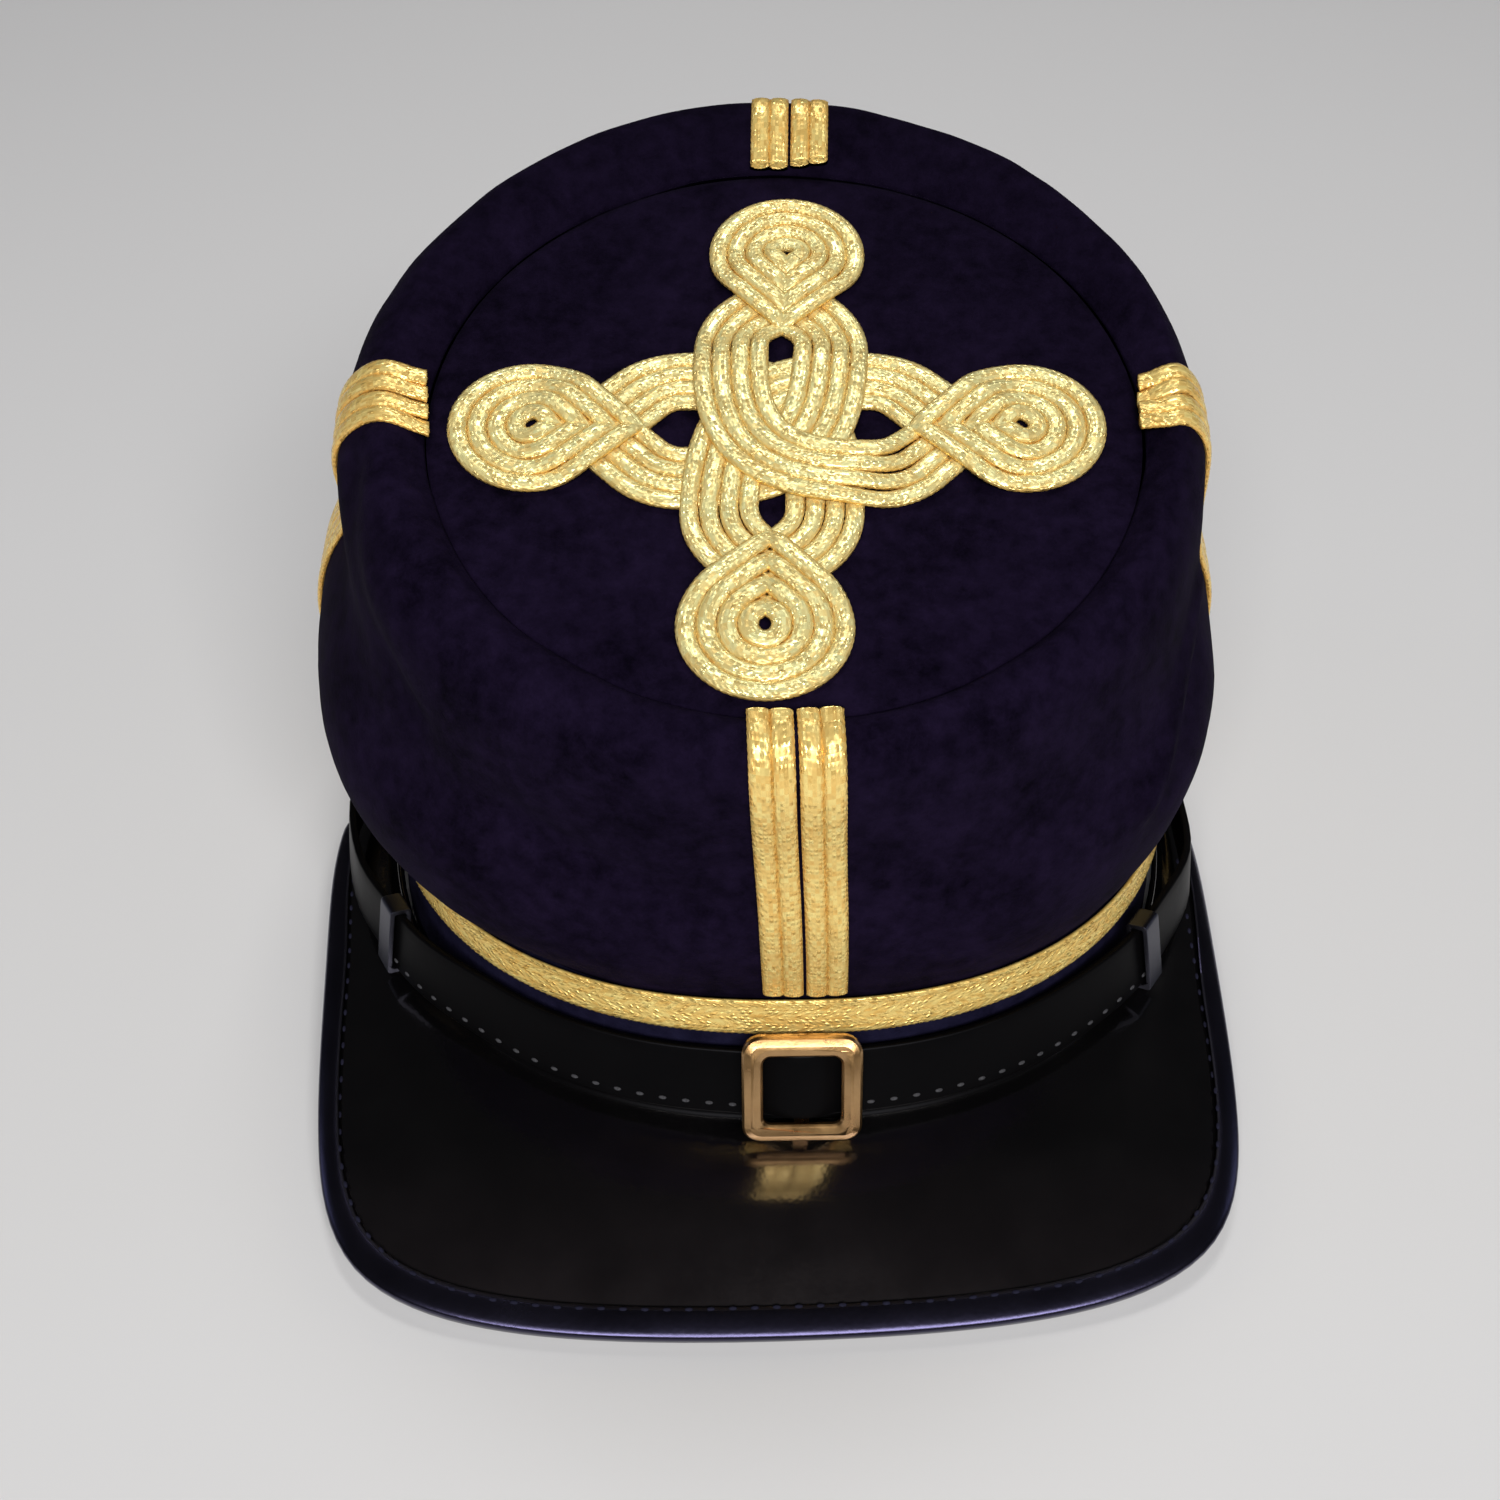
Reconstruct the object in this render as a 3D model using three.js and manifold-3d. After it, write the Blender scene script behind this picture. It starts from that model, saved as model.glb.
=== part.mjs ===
// A kepi: a soft felt crown with a rolled edge, gold braid, a leather peak and a chin strap.
// Millimetres, +Z up. The floor is z = 0, the front is -Y and +X is right as seen from the front.
import * as THREE from "three";
import { mergeVertices } from "three/addons/utils/BufferGeometryUtils.js";
import Module from "manifold-3d";

const radians = THREE.MathUtils.degToRad;

// Driving dimensions
const GAP = 0.3; // between a piece and what it rests on
const FACET_ROOM = 0.15; // more room where flat facets lie on a curve
const FELT = 2.2; // thickness of the crown's cloth
const BAND_CLOTH = 2.6; // thickness of the stiffened band
const TIP_RADIUS = 68.2; // flat top of the crown
const TIP_SAG = 2.0; // how far the middle of the top sinks
const BRAID_WIDTH = { front: 17.0, back: 16.8, side: 15.6 }; // stripes of four rows
const BRAID_HEIGHT = 1.5; // tops of the rows above the stripe's back
const BRAID_TUCK = 0.12; // share of the last section left free between a stripe and the seam of the top
const BAND_BRAID_BELOW = 7.4; // reach of the band's braid below the seam of band and crown
const BAND_BRAID_ABOVE = 2.2; // and above that seam
const BAND_BRAID_THICK = 1.2;
const PEAK_THICK = 2.0;
const PEAK_SHIFT = 0.9; // the peak is sewn on a little to one side
const PEAK_TURN = radians(1.9); // and a little turned
const PEAK_HALF_SPAN = 88; // degrees of the band, each side of the front, that carry the peak
const PEAK_FLANGE = 5.5; // height of the flange that stands against the band
const PEAK_BEND = { start: 2.4, reach: 1.6, rise: 0.7 }; // flange above the bend, then out to the plate
const PEAK_CROWN = 1.4; // how far the plate bows up between the band and its edge
const PEAK_EDGE_Z = { front: 2.4, side: 7.0 }; // height of the leather's middle at its outer edge
const BINDING_WIDTH = 5.4;
const BINDING_SHARE = 0.3; // or this share of the plate, where the plate is narrow
const BINDING_THICK = 0.9;
const BINDING_ROUND = 0.7; // flat cut off the fold's two corners
const STRAP_WIDTH = 14.4;
const STRAP_THICK = 1.8;
const STRAP_END_SHARES = [0.1, 0.3, 0.6]; // steps along each rounded end
const STRAP_END_FLAT = 0.95; // the rounding stops short of a point
const STRAP_RISE = 13.4; // middle of the strap above the band's lower edge
const STRAP_HALF_SPAN = 101; // degrees of the band, each side of the front
const BUTTON_ANGLE = 97; // degrees from the front to each side button
const BUTTON_RADIUS = 7.0;
const KEEPER_ANGLE = { left: 57, right: 53 }; // degrees from the front
const KEEPER_WIDTH = 6.0;
const KEEPER_THICK = 1.1;
const BUCKLE_SHIFT = 2.4; // the buckle stands a little to one side
const FRONT_SHIFT = 3.3; // and so does the front braid
const SIDE_BRAID_ANGLE = 88.5; // degrees from the front to each side braid
const BACK_SHIFT = 4.2; // offset of the back braid to the same side
const BUCKLE_WIDTH = 24.2;
const BUCKLE_HEIGHT = 23.6;
const BUCKLE_BAR = 4.2; // width of the buckle's four sides
const BUCKLE_THICK = 2.0;
const BUCKLE_CORNER = { outer: 3.4, inner: 2.2 }; // radii of its corners
const SLIDE_BAR = 3.0; // width of the bar behind the strap
const SLIDE_THICK = 1.2;
const SLIDE_LUG = 1.3; // height of the lugs that join that bar to the frame
const SLIDE_BULGE = 1.9; // how far the strap rises over that bar

const MIDDLE = { x: 3.0, y: 2.5 }; // from the seam plane of the crown to the middle of the whole outline

// Steps of the faceted forms
const AROUND = 50; // steps round the band and the crown
const ROWS_PER_SECTION = 2; // steps between two sections of the crown
const PEAK_STEPS = 30;
const STRAP_STEPS = 44;
const KNOT_STEPS = 44;

// Level rings of the crown, from its lower edge to the seam of the flat top.
// half: half of the ring's width. square: 2 is an ellipse, more is squarer. shift: lean to +X.
const CROWN_SECTIONS = [
  { name: "hem", frontY: -72, backY: 115, half: 89.5, frontZ: 41, backZ: 27, square: 2.3, shift: -0.5 },
  { name: "low", frontY: -75, backY: 117, half: 93.4, frontZ: 53, backZ: 44, square: 2.5, shift: -2.6 },
  { name: "belly", frontY: -76.5, backY: 114, half: 97, frontZ: 70, backZ: 78, square: 2.6, shift: -3.8 },
  { name: "waist", frontY: -75.5, backY: 105, half: 91.5, frontZ: 87, backZ: 110, square: 2.4, shift: -3.7 },
  { name: "shoulder", frontY: -77, backY: 96, half: 86, frontZ: 101, backZ: 133, square: 2.2, shift: -3.4 },
  { name: "edge", frontY: -77, backY: 89, half: 84, frontZ: 109.5, backZ: 147.6, square: 2.05, shift: -2.9 },
  { name: "crest", frontY: -73, backY: 80.5, half: 77, frontZ: 115.3, backZ: 157.2, square: 2, shift: -1.5 },
  { name: "inner", frontY: -69, backY: 71.5, half: 72, frontZ: 115.8, backZ: 153, square: 2, shift: -0.6 },
  { name: "seam", frontY: -67.3, backY: 66, half: 68.5, frontZ: 114.3, backZ: 147, square: 2, shift: -0.5 },
];

// Folds of the crown. angle: degrees from the front, positive to +X. level: section number.
// slant: sections climbed per degree. push: outward in millimetres.
const CROWN_FOLDS = [
  { name: "left pinch", angle: -88, spread: 34, level: 3.5, width: 0.42, slant: 0, push: -4.6 },
  { name: "left front crease", angle: -42, spread: 26, level: 3, width: 0.4, slant: -0.01, push: -3.2 },
  { name: "front left dent", angle: -19, spread: 11, level: 2.35, width: 0.5, slant: -0.03, push: -3.0 },
  { name: "right pinch", angle: 84, spread: 32, level: 3.2, width: 0.4, slant: 0, push: -2.8 },
  { name: "right front roll", angle: 48, spread: 18, level: 2.5, width: 0.45, slant: 0.006, push: 2.0 },
  { name: "back left hollow", angle: -142, spread: 24, level: 2.6, width: 0.8, slant: 0.006, push: -2.6 },
  { name: "back right hollow", angle: 146, spread: 22, level: 2.9, width: 0.8, slant: -0.006, push: -2.2 },
];

// Level rings of the band, from its lower edge up. The lower edge lies flat where it meets the floor.
const BAND_SECTIONS = [
  { name: "lower", frontY: -79, backY: 119.5, half: 91.5, frontZ: 11, backZ: -0.4, square: 2.3, shift: -0.5 },
  { name: "upper", frontY: -72, backY: 115, half: 89.5, frontZ: 40.7, backZ: 26.7, square: 2.3, shift: -0.5 },
];

// How far the chin strap stands off the band at its upper and lower edge. angle: degrees from the front.
const STRAP_STAND_OFF = [
  { angle: -101, upper: 0.8, lower: 1.0 },
  { angle: -94, upper: 1.2, lower: 1.6 },
  { angle: -79, upper: 10.0, lower: 11.0 },
  { angle: -68, upper: 9.6, lower: 10.6 },
  { angle: -57, upper: 6.2, lower: 7.8 },
  { angle: -36, upper: 1.6, lower: 4.6 },
  { angle: 0, upper: 1.4, lower: 5.0 },
  { angle: 36, upper: 1.5, lower: 4.6 },
  { angle: 57, upper: 4.2, lower: 6.2 },
  { angle: 69, upper: 7.2, lower: 8.2 },
  { angle: 80, upper: 4.2, lower: 5.2 },
  { angle: 94, upper: 1.2, lower: 1.6 },
  { angle: 101, upper: 0.8, lower: 1.0 },
];

// The knot's two bands: one runs front to back, the other from side to side.
// half is half the width of a band, lift is its rise over another and ramp is the length of that rise.
const KNOT = { loopAt: 46.8, loopRadius: 8.0, bendRadius: 12, half: 7.9, waist: 8.1, lift: 1.3, ramp: 4 };
const KNOT_CENTRE = { x: -1.4, y: -2.2 }; // on the flat top
const KNOT_BANDS = [
  { name: "front to back", turn: radians(87), barAt: 10.0 },
  { name: "side to side", turn: radians(180), barAt: 12.2 },
];

const wasm = await Module();
wasm.setup();

// Builds a closed body from stations, each a closed loop of points round the section.
// A ring of stations closes on itself; otherwise both ends are capped.
function sweepLoops(stations, closed) {
  const count = stations[0].length;
  const points = stations.flat();
  const index = [];
  const spans = closed ? stations.length : stations.length - 1;
  for (let s = 0; s < spans; s += 1) {
    const here = s * count;
    const next = ((s + 1) % stations.length) * count;
    for (let p = 0; p < count; p += 1) {
      const q = (p + 1) % count;
      index.push(here + p, next + p, next + q, here + p, next + q, here + q);
    }
  }
  if (!closed) {
    for (const [start, flip] of [[0, false], [(stations.length - 1) * count, true]]) {
      for (const [a, b, c] of capTriangles(points.slice(start, start + count))) {
        index.push(start + a, start + (flip ? c : b), start + (flip ? b : c));
      }
    }
  }
  const geometry = new THREE.BufferGeometry().setFromPoints(points);
  geometry.setIndex(index);
  return facingOut(geometry);
}

// Triangles over a flat loop of points, seen along the loop's own axis and wound as the loop is.
function capTriangles(loop) {
  const centre = new THREE.Vector3();
  const normal = new THREE.Vector3();
  for (const point of loop) centre.addScaledVector(point, 1 / loop.length);
  loop.forEach((point, i) => {
    const next = loop[(i + 1) % loop.length];
    normal.add(point.clone().sub(centre).cross(next.clone().sub(centre)));
  });
  normal.normalize();
  const across = loop[1].clone().sub(loop[0]).normalize();
  const along = normal.clone().cross(across);
  const flat = loop.map((point) => new THREE.Vector2(point.dot(across), point.dot(along)));
  return THREE.ShapeUtils.triangulateShape(flat, []);
}

// Turns every face round where a body's volume comes out negative.
function facingOut(geometry) {
  const at = geometry.getAttribute("position");
  const index = geometry.getIndex().array;
  const corner = [new THREE.Vector3(), new THREE.Vector3(), new THREE.Vector3()];
  let volume = 0;
  for (let i = 0; i < index.length; i += 3) {
    corner.forEach((point, k) => point.fromBufferAttribute(at, index[i + k]));
    volume += corner[0].dot(corner[1].clone().cross(corner[2]));
  }
  if (volume < 0) {
    for (let i = 0; i < index.length; i += 3) {
      [index[i + 1], index[i + 2]] = [index[i + 2], index[i + 1]];
    }
  }
  return geometry;
}

// A geometry as a solid for joining and cutting.
function solidFrom(geometry) {
  const bare = geometry.clone();
  bare.deleteAttribute("normal");
  bare.deleteAttribute("uv");
  const merged = mergeVertices(bare, 1e-4);
  return new wasm.Manifold(
    new wasm.Mesh({
      numProp: 3,
      vertProperties: new Float32Array(merged.getAttribute("position").array),
      triVerts: new Uint32Array(merged.getIndex().array),
    }),
  );
}

function geometryFrom(solid) {
  const mesh = solid.getMesh();
  const geometry = new THREE.BufferGeometry();
  geometry.setAttribute("position", new THREE.BufferAttribute(mesh.vertProperties, 3));
  geometry.setIndex(new THREE.BufferAttribute(mesh.triVerts, 1));
  return geometry;
}

// A point of a level ring, at an angle from the front.
function ringPoint(section, angle) {
  const { frontY, backY, half, frontZ, backZ, square, shift } = section;
  const bend = (value) => Math.sign(value) * Math.abs(value) ** (2 / square);
  const share = (1 - bend(Math.cos(angle))) / 2;
  return new THREE.Vector3(
    shift + half * bend(Math.sin(angle)),
    THREE.MathUtils.lerp(frontY, backY, share),
    THREE.MathUtils.lerp(frontZ, backZ, share),
  );
}

// How far the folds push the crown's wall out at an angle and a level.
function foldPush(angle, level) {
  let push = 0;
  for (const fold of CROWN_FOLDS) {
    const away = ((((THREE.MathUtils.radToDeg(angle) - fold.angle) % 360) + 540) % 360) - 180;
    const above = level - fold.level - fold.slant * away;
    push += fold.push * Math.exp(-((away / fold.spread) ** 2) - (above / fold.width) ** 2);
  }
  return push;
}

// The crown before its folds: one smooth rib through the sections at each angle.
function ribPoint(angle, level) {
  const through = CROWN_SECTIONS.map((section) => ringPoint(section, angle));
  const rib = new THREE.CatmullRomCurve3(through, false, "centripetal");
  return rib.getPoint(THREE.MathUtils.clamp(level / (CROWN_SECTIONS.length - 1), 0, 1));
}

// Outward direction of a surface given as a function of angle and level.
function outward(surface, angle, level, topLevel) {
  const turn = 0.01;
  const climb = 0.02;
  const round = surface(angle + turn, level).sub(surface(angle - turn, level));
  const above = surface(angle, Math.min(level + climb, topLevel));
  const up = above.sub(surface(angle, Math.max(level - climb, 0)));
  return round.cross(up).normalize();
}

// The folded outer face of the crown, moved out by an offset along its own outward direction.
function crownPoint(angle, level, offset = 0) {
  const out = outward(ribPoint, angle, level, CROWN_SECTIONS.length - 1);
  return ribPoint(angle, level).addScaledVector(out, foldPush(angle, level) + offset);
}

const TOP_LEVEL = CROWN_SECTIONS.length - 1;
const LEVELS = Array.from({ length: TOP_LEVEL * ROWS_PER_SECTION + 1 }, (_, i) => i / ROWS_PER_SECTION);
const ANGLES = Array.from({ length: AROUND }, (_, i) => (i / AROUND) * 2 * Math.PI);

// Crown wall: outer face up to the seam, inner face down again.
function crownSide() {
  const stations = ANGLES.map((angle) => {
    const outer = LEVELS.map((level) => crownPoint(angle, level));
    const inner = LEVELS.map((level) => crownPoint(angle, level, -FELT));
    inner[0].z = outer[0].z;
    return [...outer, ...inner.reverse()];
  });
  return sweepLoops(stations, true);
}

// A point of the band's outer face. rise runs from 0 at the lower edge to 1 at the upper edge.
function bandPoint(angle, rise, offset = 0) {
  const face = (a, level) => ringPoint(BAND_SECTIONS[0], a).lerp(ringPoint(BAND_SECTIONS[1], a), level);
  return face(angle, rise).addScaledVector(outward(face, angle, rise, 1), offset);
}

const onFloor = (point) => point.setZ(Math.max(point.z, 0));

function capBand() {
  const stations = ANGLES.map((angle) => {
    const foot = onFloor(bandPoint(angle, 0));
    const innerFoot = bandPoint(angle, 0, -BAND_CLOTH).setZ(foot.z);
    const top = bandPoint(angle, 1);
    const innerTop = bandPoint(angle, 1, -BAND_CLOTH).setZ(top.z);
    return [foot, top, innerTop, innerFoot];
  });
  return sweepLoops(stations, true);
}

// Flat braid over the seam of band and crown.
function bandBraid() {
  const bandRise = bandPoint(0, 1).distanceTo(bandPoint(0, 0));
  const crownRise = crownPoint(0, 1).distanceTo(crownPoint(0, 0));
  const low = 1 - BAND_BRAID_BELOW / bandRise;
  const high = BAND_BRAID_ABOVE / crownRise;
  const near = GAP + FACET_ROOM;
  const far = near + BAND_BRAID_THICK;
  const stations = ANGLES.map((angle) => [
    bandPoint(angle, low, near),
    bandPoint(angle, low, far),
    crownPoint(angle, 0, far),
    crownPoint(angle, high, far),
    crownPoint(angle, high, near),
    crownPoint(angle, 0, near),
  ]);
  return sweepLoops(stations, true);
}

// Section of a four-row braid: across runs from -1 to 1, height from 0 at the back to 1 at the tops.
function braidSection() {
  const rows = 4;
  const valley = 0.5;
  const points = [{ across: -1, height: 0 }];
  for (let row = 0; row < rows; row += 1) {
    points.push({ across: (2 * row + 1) / rows - 1, height: 1 });
    if (row < rows - 1) points.push({ across: (2 * row + 2) / rows - 1, height: valley });
  }
  points.push({ across: 1, height: 0 });
  return points;
}

// Upright stripe of braid on the crown, centred at an angle.
function uprightBraid(angle, width) {
  const startLevel = (BAND_BRAID_ABOVE + 2 * GAP) / crownPoint(0, 1).distanceTo(crownPoint(0, 0));
  const endLevel = TOP_LEVEL - BRAID_TUCK;
  const levels = [startLevel, ...LEVELS.filter((level) => level > startLevel && level < endLevel), endLevel];
  const turn = 0.01;
  const stations = levels.map((level) => {
    const span = crownPoint(angle + turn, level).distanceTo(crownPoint(angle - turn, level));
    const perRadian = span / (2 * turn);
    return braidSection().map(({ across, height }) => {
      const there = angle + (across * width) / 2 / perRadian;
      return crownPoint(there, level, GAP + FACET_ROOM + height * BRAID_HEIGHT);
    });
  });
  return sweepLoops(stations, false);
}

// Flat top of the crown, in its own level frame, sinking to the middle.
function tipHeight(radius) {
  return -TIP_SAG * (1 - (radius / TIP_RADIUS) ** 2);
}

function crownTip() {
  const rings = [0, 0.6, 1].map((share) => share * TIP_RADIUS);
  const upper = rings.map((radius) => new THREE.Vector2(radius, tipHeight(radius)));
  const lower = rings.map((radius) => new THREE.Vector2(radius, tipHeight(radius) - FELT));
  const lathe = new THREE.LatheGeometry([...lower, ...upper.reverse()], AROUND);
  return geometryFrom(solidFrom(lathe.rotateX(Math.PI / 2)));
}

// Middle line of one band of the knot: two end loops, and two bars that draw together past the centre and
// cross at each neck.
function knotPath(barAt) {
  const { loopAt, loopRadius, bendRadius, waist } = KNOT;
  const neck = loopAt - loopRadius * Math.SQRT2;
  const bendAt = neck - barAt - bendRadius * (Math.SQRT2 - 1);
  const barCentre = barAt - bendRadius;
  const path = new THREE.Path();
  path.absarc(loopAt, 0, loopRadius, radians(-135), radians(135), false);
  path.absarc(bendAt, -barCentre, bendRadius, radians(-45), radians(-90), true);
  path.bezierCurveTo(bendAt / 2, -barAt, bendAt / 2, -waist, 0, -waist);
  path.bezierCurveTo(-bendAt / 2, -waist, -bendAt / 2, -barAt, -bendAt, -barAt);
  path.absarc(-bendAt, -barCentre, bendRadius, radians(-90), radians(-135), true);
  path.absarc(-loopAt, 0, loopRadius, radians(45), radians(315), false);
  path.absarc(-bendAt, barCentre, bendRadius, radians(135), radians(90), true);
  path.bezierCurveTo(-bendAt / 2, barAt, -bendAt / 2, waist, 0, waist);
  path.bezierCurveTo(bendAt / 2, waist, bendAt / 2, barAt, bendAt, barAt);
  path.absarc(bendAt, barCentre, bendRadius, radians(90), radians(45), true);
  path.closePath();
  return { path, neck };
}

// How far a band of the knot rises to pass over another, at a point and heading of its middle line.
function knotLift(point, heading, neck) {
  const crossings = [];
  if (point.x * point.y > 0) {
    crossings.push(new THREE.Vector2(Math.sign(point.x), Math.sign(point.y)).multiplyScalar(KNOT.waist));
  }
  if (point.x * heading.x < 0) crossings.push(new THREE.Vector2(Math.sign(point.x) * neck, 0));
  const nearest = Math.min(...crossings.map((crossing) => crossing.distanceTo(point)), Infinity);
  const clear = KNOT.half + GAP;
  return KNOT.lift * (1 - THREE.MathUtils.smoothstep(nearest, clear, clear + KNOT.ramp));
}

// One strand of a band, from the tip of one end loop to the tip of the other, so that it never meets itself.
function knotStrand(band, start) {
  const { path, neck } = knotPath(band.barAt);
  const loopTip = (KNOT.loopRadius * radians(135)) / path.getLength();
  const stations = [];
  for (let i = 0; i <= KNOT_STEPS / 2; i += 1) {
    const share = (loopTip + start + i / KNOT_STEPS) % 1;
    const point = path.getPointAt(share);
    const heading = path.getTangentAt(share);
    const lift = knotLift(point, heading, neck);
    const loop = braidSection().map(({ across, height }) => {
      const reach = across * KNOT.half;
      const flat = new THREE.Vector2(point.x - heading.y * reach, point.y + heading.x * reach);
      flat.rotateAround(new THREE.Vector2(), band.turn);
      flat.add(KNOT_CENTRE);
      const rise = height > 0 ? height * BRAID_HEIGHT + lift : 0;
      return new THREE.Vector3(flat.x, flat.y, tipHeight(flat.length()) + GAP + FACET_ROOM + rise);
    });
    stations.push(loop);
  }
  return sweepLoops(stations, false);
}

// The knot: two strands to each band, joined where they meet and cross.
function crownKnot() {
  const strands = KNOT_BANDS.flatMap((band) => [0, 0.5].map((start) => solidFrom(knotStrand(band, start))));
  return geometryFrom(strands.reduce((joined, strand) => joined.add(strand)));
}

// Outer edge of the peak seen from above, from the middle of the front to one tip.
function peakOutline() {
  const outline = new THREE.Path();
  outline.moveTo(0, -122.8);
  outline.bezierCurveTo(48, -122.8, 78.4, -118.4, 88.8, -104);
  outline.bezierCurveTo(97, -92, 98.4, -58, 101, -26);
  outline.bezierCurveTo(103.4, -4, 105, 14, 96, 23);
  return outline;
}

// One station of the peak, from -1 at one tip to 1 at the other: the middle line of its leather.
const PEAK_OUTLINE = peakOutline();
function peakLine(share) {
  const side = Math.sign(share) || 1;
  const outer = PEAK_OUTLINE.getPointAt(Math.abs(share));
  outer.x *= side;
  outer.rotateAround(PEAK_OUTLINE.getPointAt(0), PEAK_TURN);
  const angle = radians(share * PEAK_HALF_SPAN);
  const stand = GAP + FACET_ROOM + PEAK_THICK / 2;
  const foot = bandPoint(angle, 0, stand);
  const bandRise = bandPoint(angle, 1).distanceTo(bandPoint(angle, 0));
  const flangeTop = bandPoint(angle, PEAK_FLANGE / bandRise, stand);
  const flangeFoot = bandPoint(angle, PEAK_BEND.start / bandRise, stand);
  const edgeShare = THREE.MathUtils.smoothstep(Math.abs(share), 0.2, 0.75);
  const edgeZ = THREE.MathUtils.lerp(PEAK_EDGE_Z.front, PEAK_EDGE_Z.side, edgeShare);
  const edge = new THREE.Vector3(outer.x + PEAK_SHIFT, outer.y, edgeZ);
  const root = foot.clone().lerp(edge, PEAK_BEND.reach / foot.distanceTo(edge));
  root.z = foot.z + PEAK_BEND.rise;
  const plate = [1 / 3, 2 / 3].map((part) => {
    const point = root.clone().lerp(edge, part);
    point.z += PEAK_CROWN * 4 * part * (1 - part);
    return point;
  });
  return [flangeTop, flangeFoot, root, ...plate, edge];
}

// Moves a line of points sideways, within the upright plane that it runs in.
function offsetLine(line, distance) {
  return line.map((point, i) => {
    const from = line[Math.max(i - 1, 0)];
    const to = line[Math.min(i + 1, line.length - 1)];
    const run = to.clone().sub(from);
    const level = Math.hypot(run.x, run.y);
    const reach = line[line.length - 1].clone().sub(line[0]).setZ(0).normalize();
    const up = reach.multiplyScalar(-run.z).add(new THREE.Vector3(0, 0, level));
    return point.clone().addScaledVector(up.normalize(), distance);
  });
}

const PEAK_SHARES = Array.from({ length: PEAK_STEPS + 1 }, (_, i) => (2 * i) / PEAK_STEPS - 1);

function peak() {
  const stations = PEAK_SHARES.map((share) => {
    const line = peakLine(share);
    const upper = offsetLine(line, PEAK_THICK / 2);
    const lower = offsetLine(line, -PEAK_THICK / 2);
    return [...upper, ...lower.reverse()];
  });
  return sweepLoops(stations, false);
}

// Leather folded over the peak's edge, narrowing with the peak towards its tips.
function peakBinding() {
  const stations = PEAK_SHARES.slice(1, -1).map((share) => {
    const line = peakLine(share);
    const edge = line[line.length - 1];
    const before = line[line.length - 2];
    const inwards = before.clone().sub(edge).normalize();
    const plate = edge.distanceTo(line[2]);
    const width = Math.min(BINDING_WIDTH, BINDING_SHARE * plate);
    const near = PEAK_THICK / 2 + GAP;
    const far = near + BINDING_THICK;
    const up = inwards.clone().setZ(0).normalize().multiplyScalar(-inwards.z);
    up.z = Math.hypot(inwards.x, inwards.y);
    const at = (reach, height) => edge.clone().addScaledVector(inwards, reach).addScaledVector(up, height);
    const nose = -(GAP + BINDING_THICK);
    const loop = [
      at(width, near),
      at(width, far),
      at(nose + BINDING_ROUND, far),
      at(nose, far - BINDING_ROUND),
      at(nose, -far + BINDING_ROUND),
      at(nose + BINDING_ROUND, -far),
      at(width, -far),
      at(width, -near),
      at(-GAP, -near),
      at(-GAP, near),
    ];
    return loop.map(onFloor);
  });
  return sweepLoops(stations, false);
}

// Stand-off of the strap's edges, read smoothly from the table.
function standOff(angle) {
  const degrees = THREE.MathUtils.radToDeg(angle);
  const last = STRAP_STAND_OFF.length - 1;
  let row = STRAP_STAND_OFF.findIndex((entry) => entry.angle > degrees);
  row = row < 0 ? last : Math.max(row, 1);
  const from = STRAP_STAND_OFF[row - 1];
  const to = STRAP_STAND_OFF[row];
  const share = THREE.MathUtils.smoothstep(degrees, from.angle, to.angle);
  return {
    upper: THREE.MathUtils.lerp(from.upper, to.upper, share),
    lower: THREE.MathUtils.lerp(from.lower, to.lower, share),
  };
}

// The strap's section at an angle: its middle, the way up it and the way out of it.
function strapFrame(angle) {
  const bandRise = bandPoint(angle, 1).distanceTo(bandPoint(angle, 0));
  const { upper, lower } = standOff(angle);
  const high = bandPoint(angle, (STRAP_RISE + STRAP_WIDTH / 2) / bandRise, GAP + upper);
  const low = bandPoint(angle, (STRAP_RISE - STRAP_WIDTH / 2) / bandRise, GAP + lower);
  const up = high.clone().sub(low).normalize();
  const middle = high.clone().add(low).multiplyScalar(0.5);
  const bandOut = bandPoint(angle, 0.5, 1).sub(bandPoint(angle, 0.5, 0));
  const out = bandOut.addScaledVector(up, -bandOut.dot(up)).normalize();
  return { middle, up, out };
}

const BUCKLE_ANGLE = Math.asin(BUCKLE_SHIFT / BAND_SECTIONS[0].half);

// The strap rises over the buckle's middle bar.
function slideBulge(angle) {
  const middle = strapFrame(BUCKLE_ANGLE).middle;
  const away = strapFrame(angle).middle.distanceTo(middle);
  const window = BUCKLE_WIDTH / 2 - BUCKLE_BAR;
  return SLIDE_BULGE * (1 - THREE.MathUtils.smoothstep(away, SLIDE_BAR / 2 + GAP, window - GAP));
}

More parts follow.
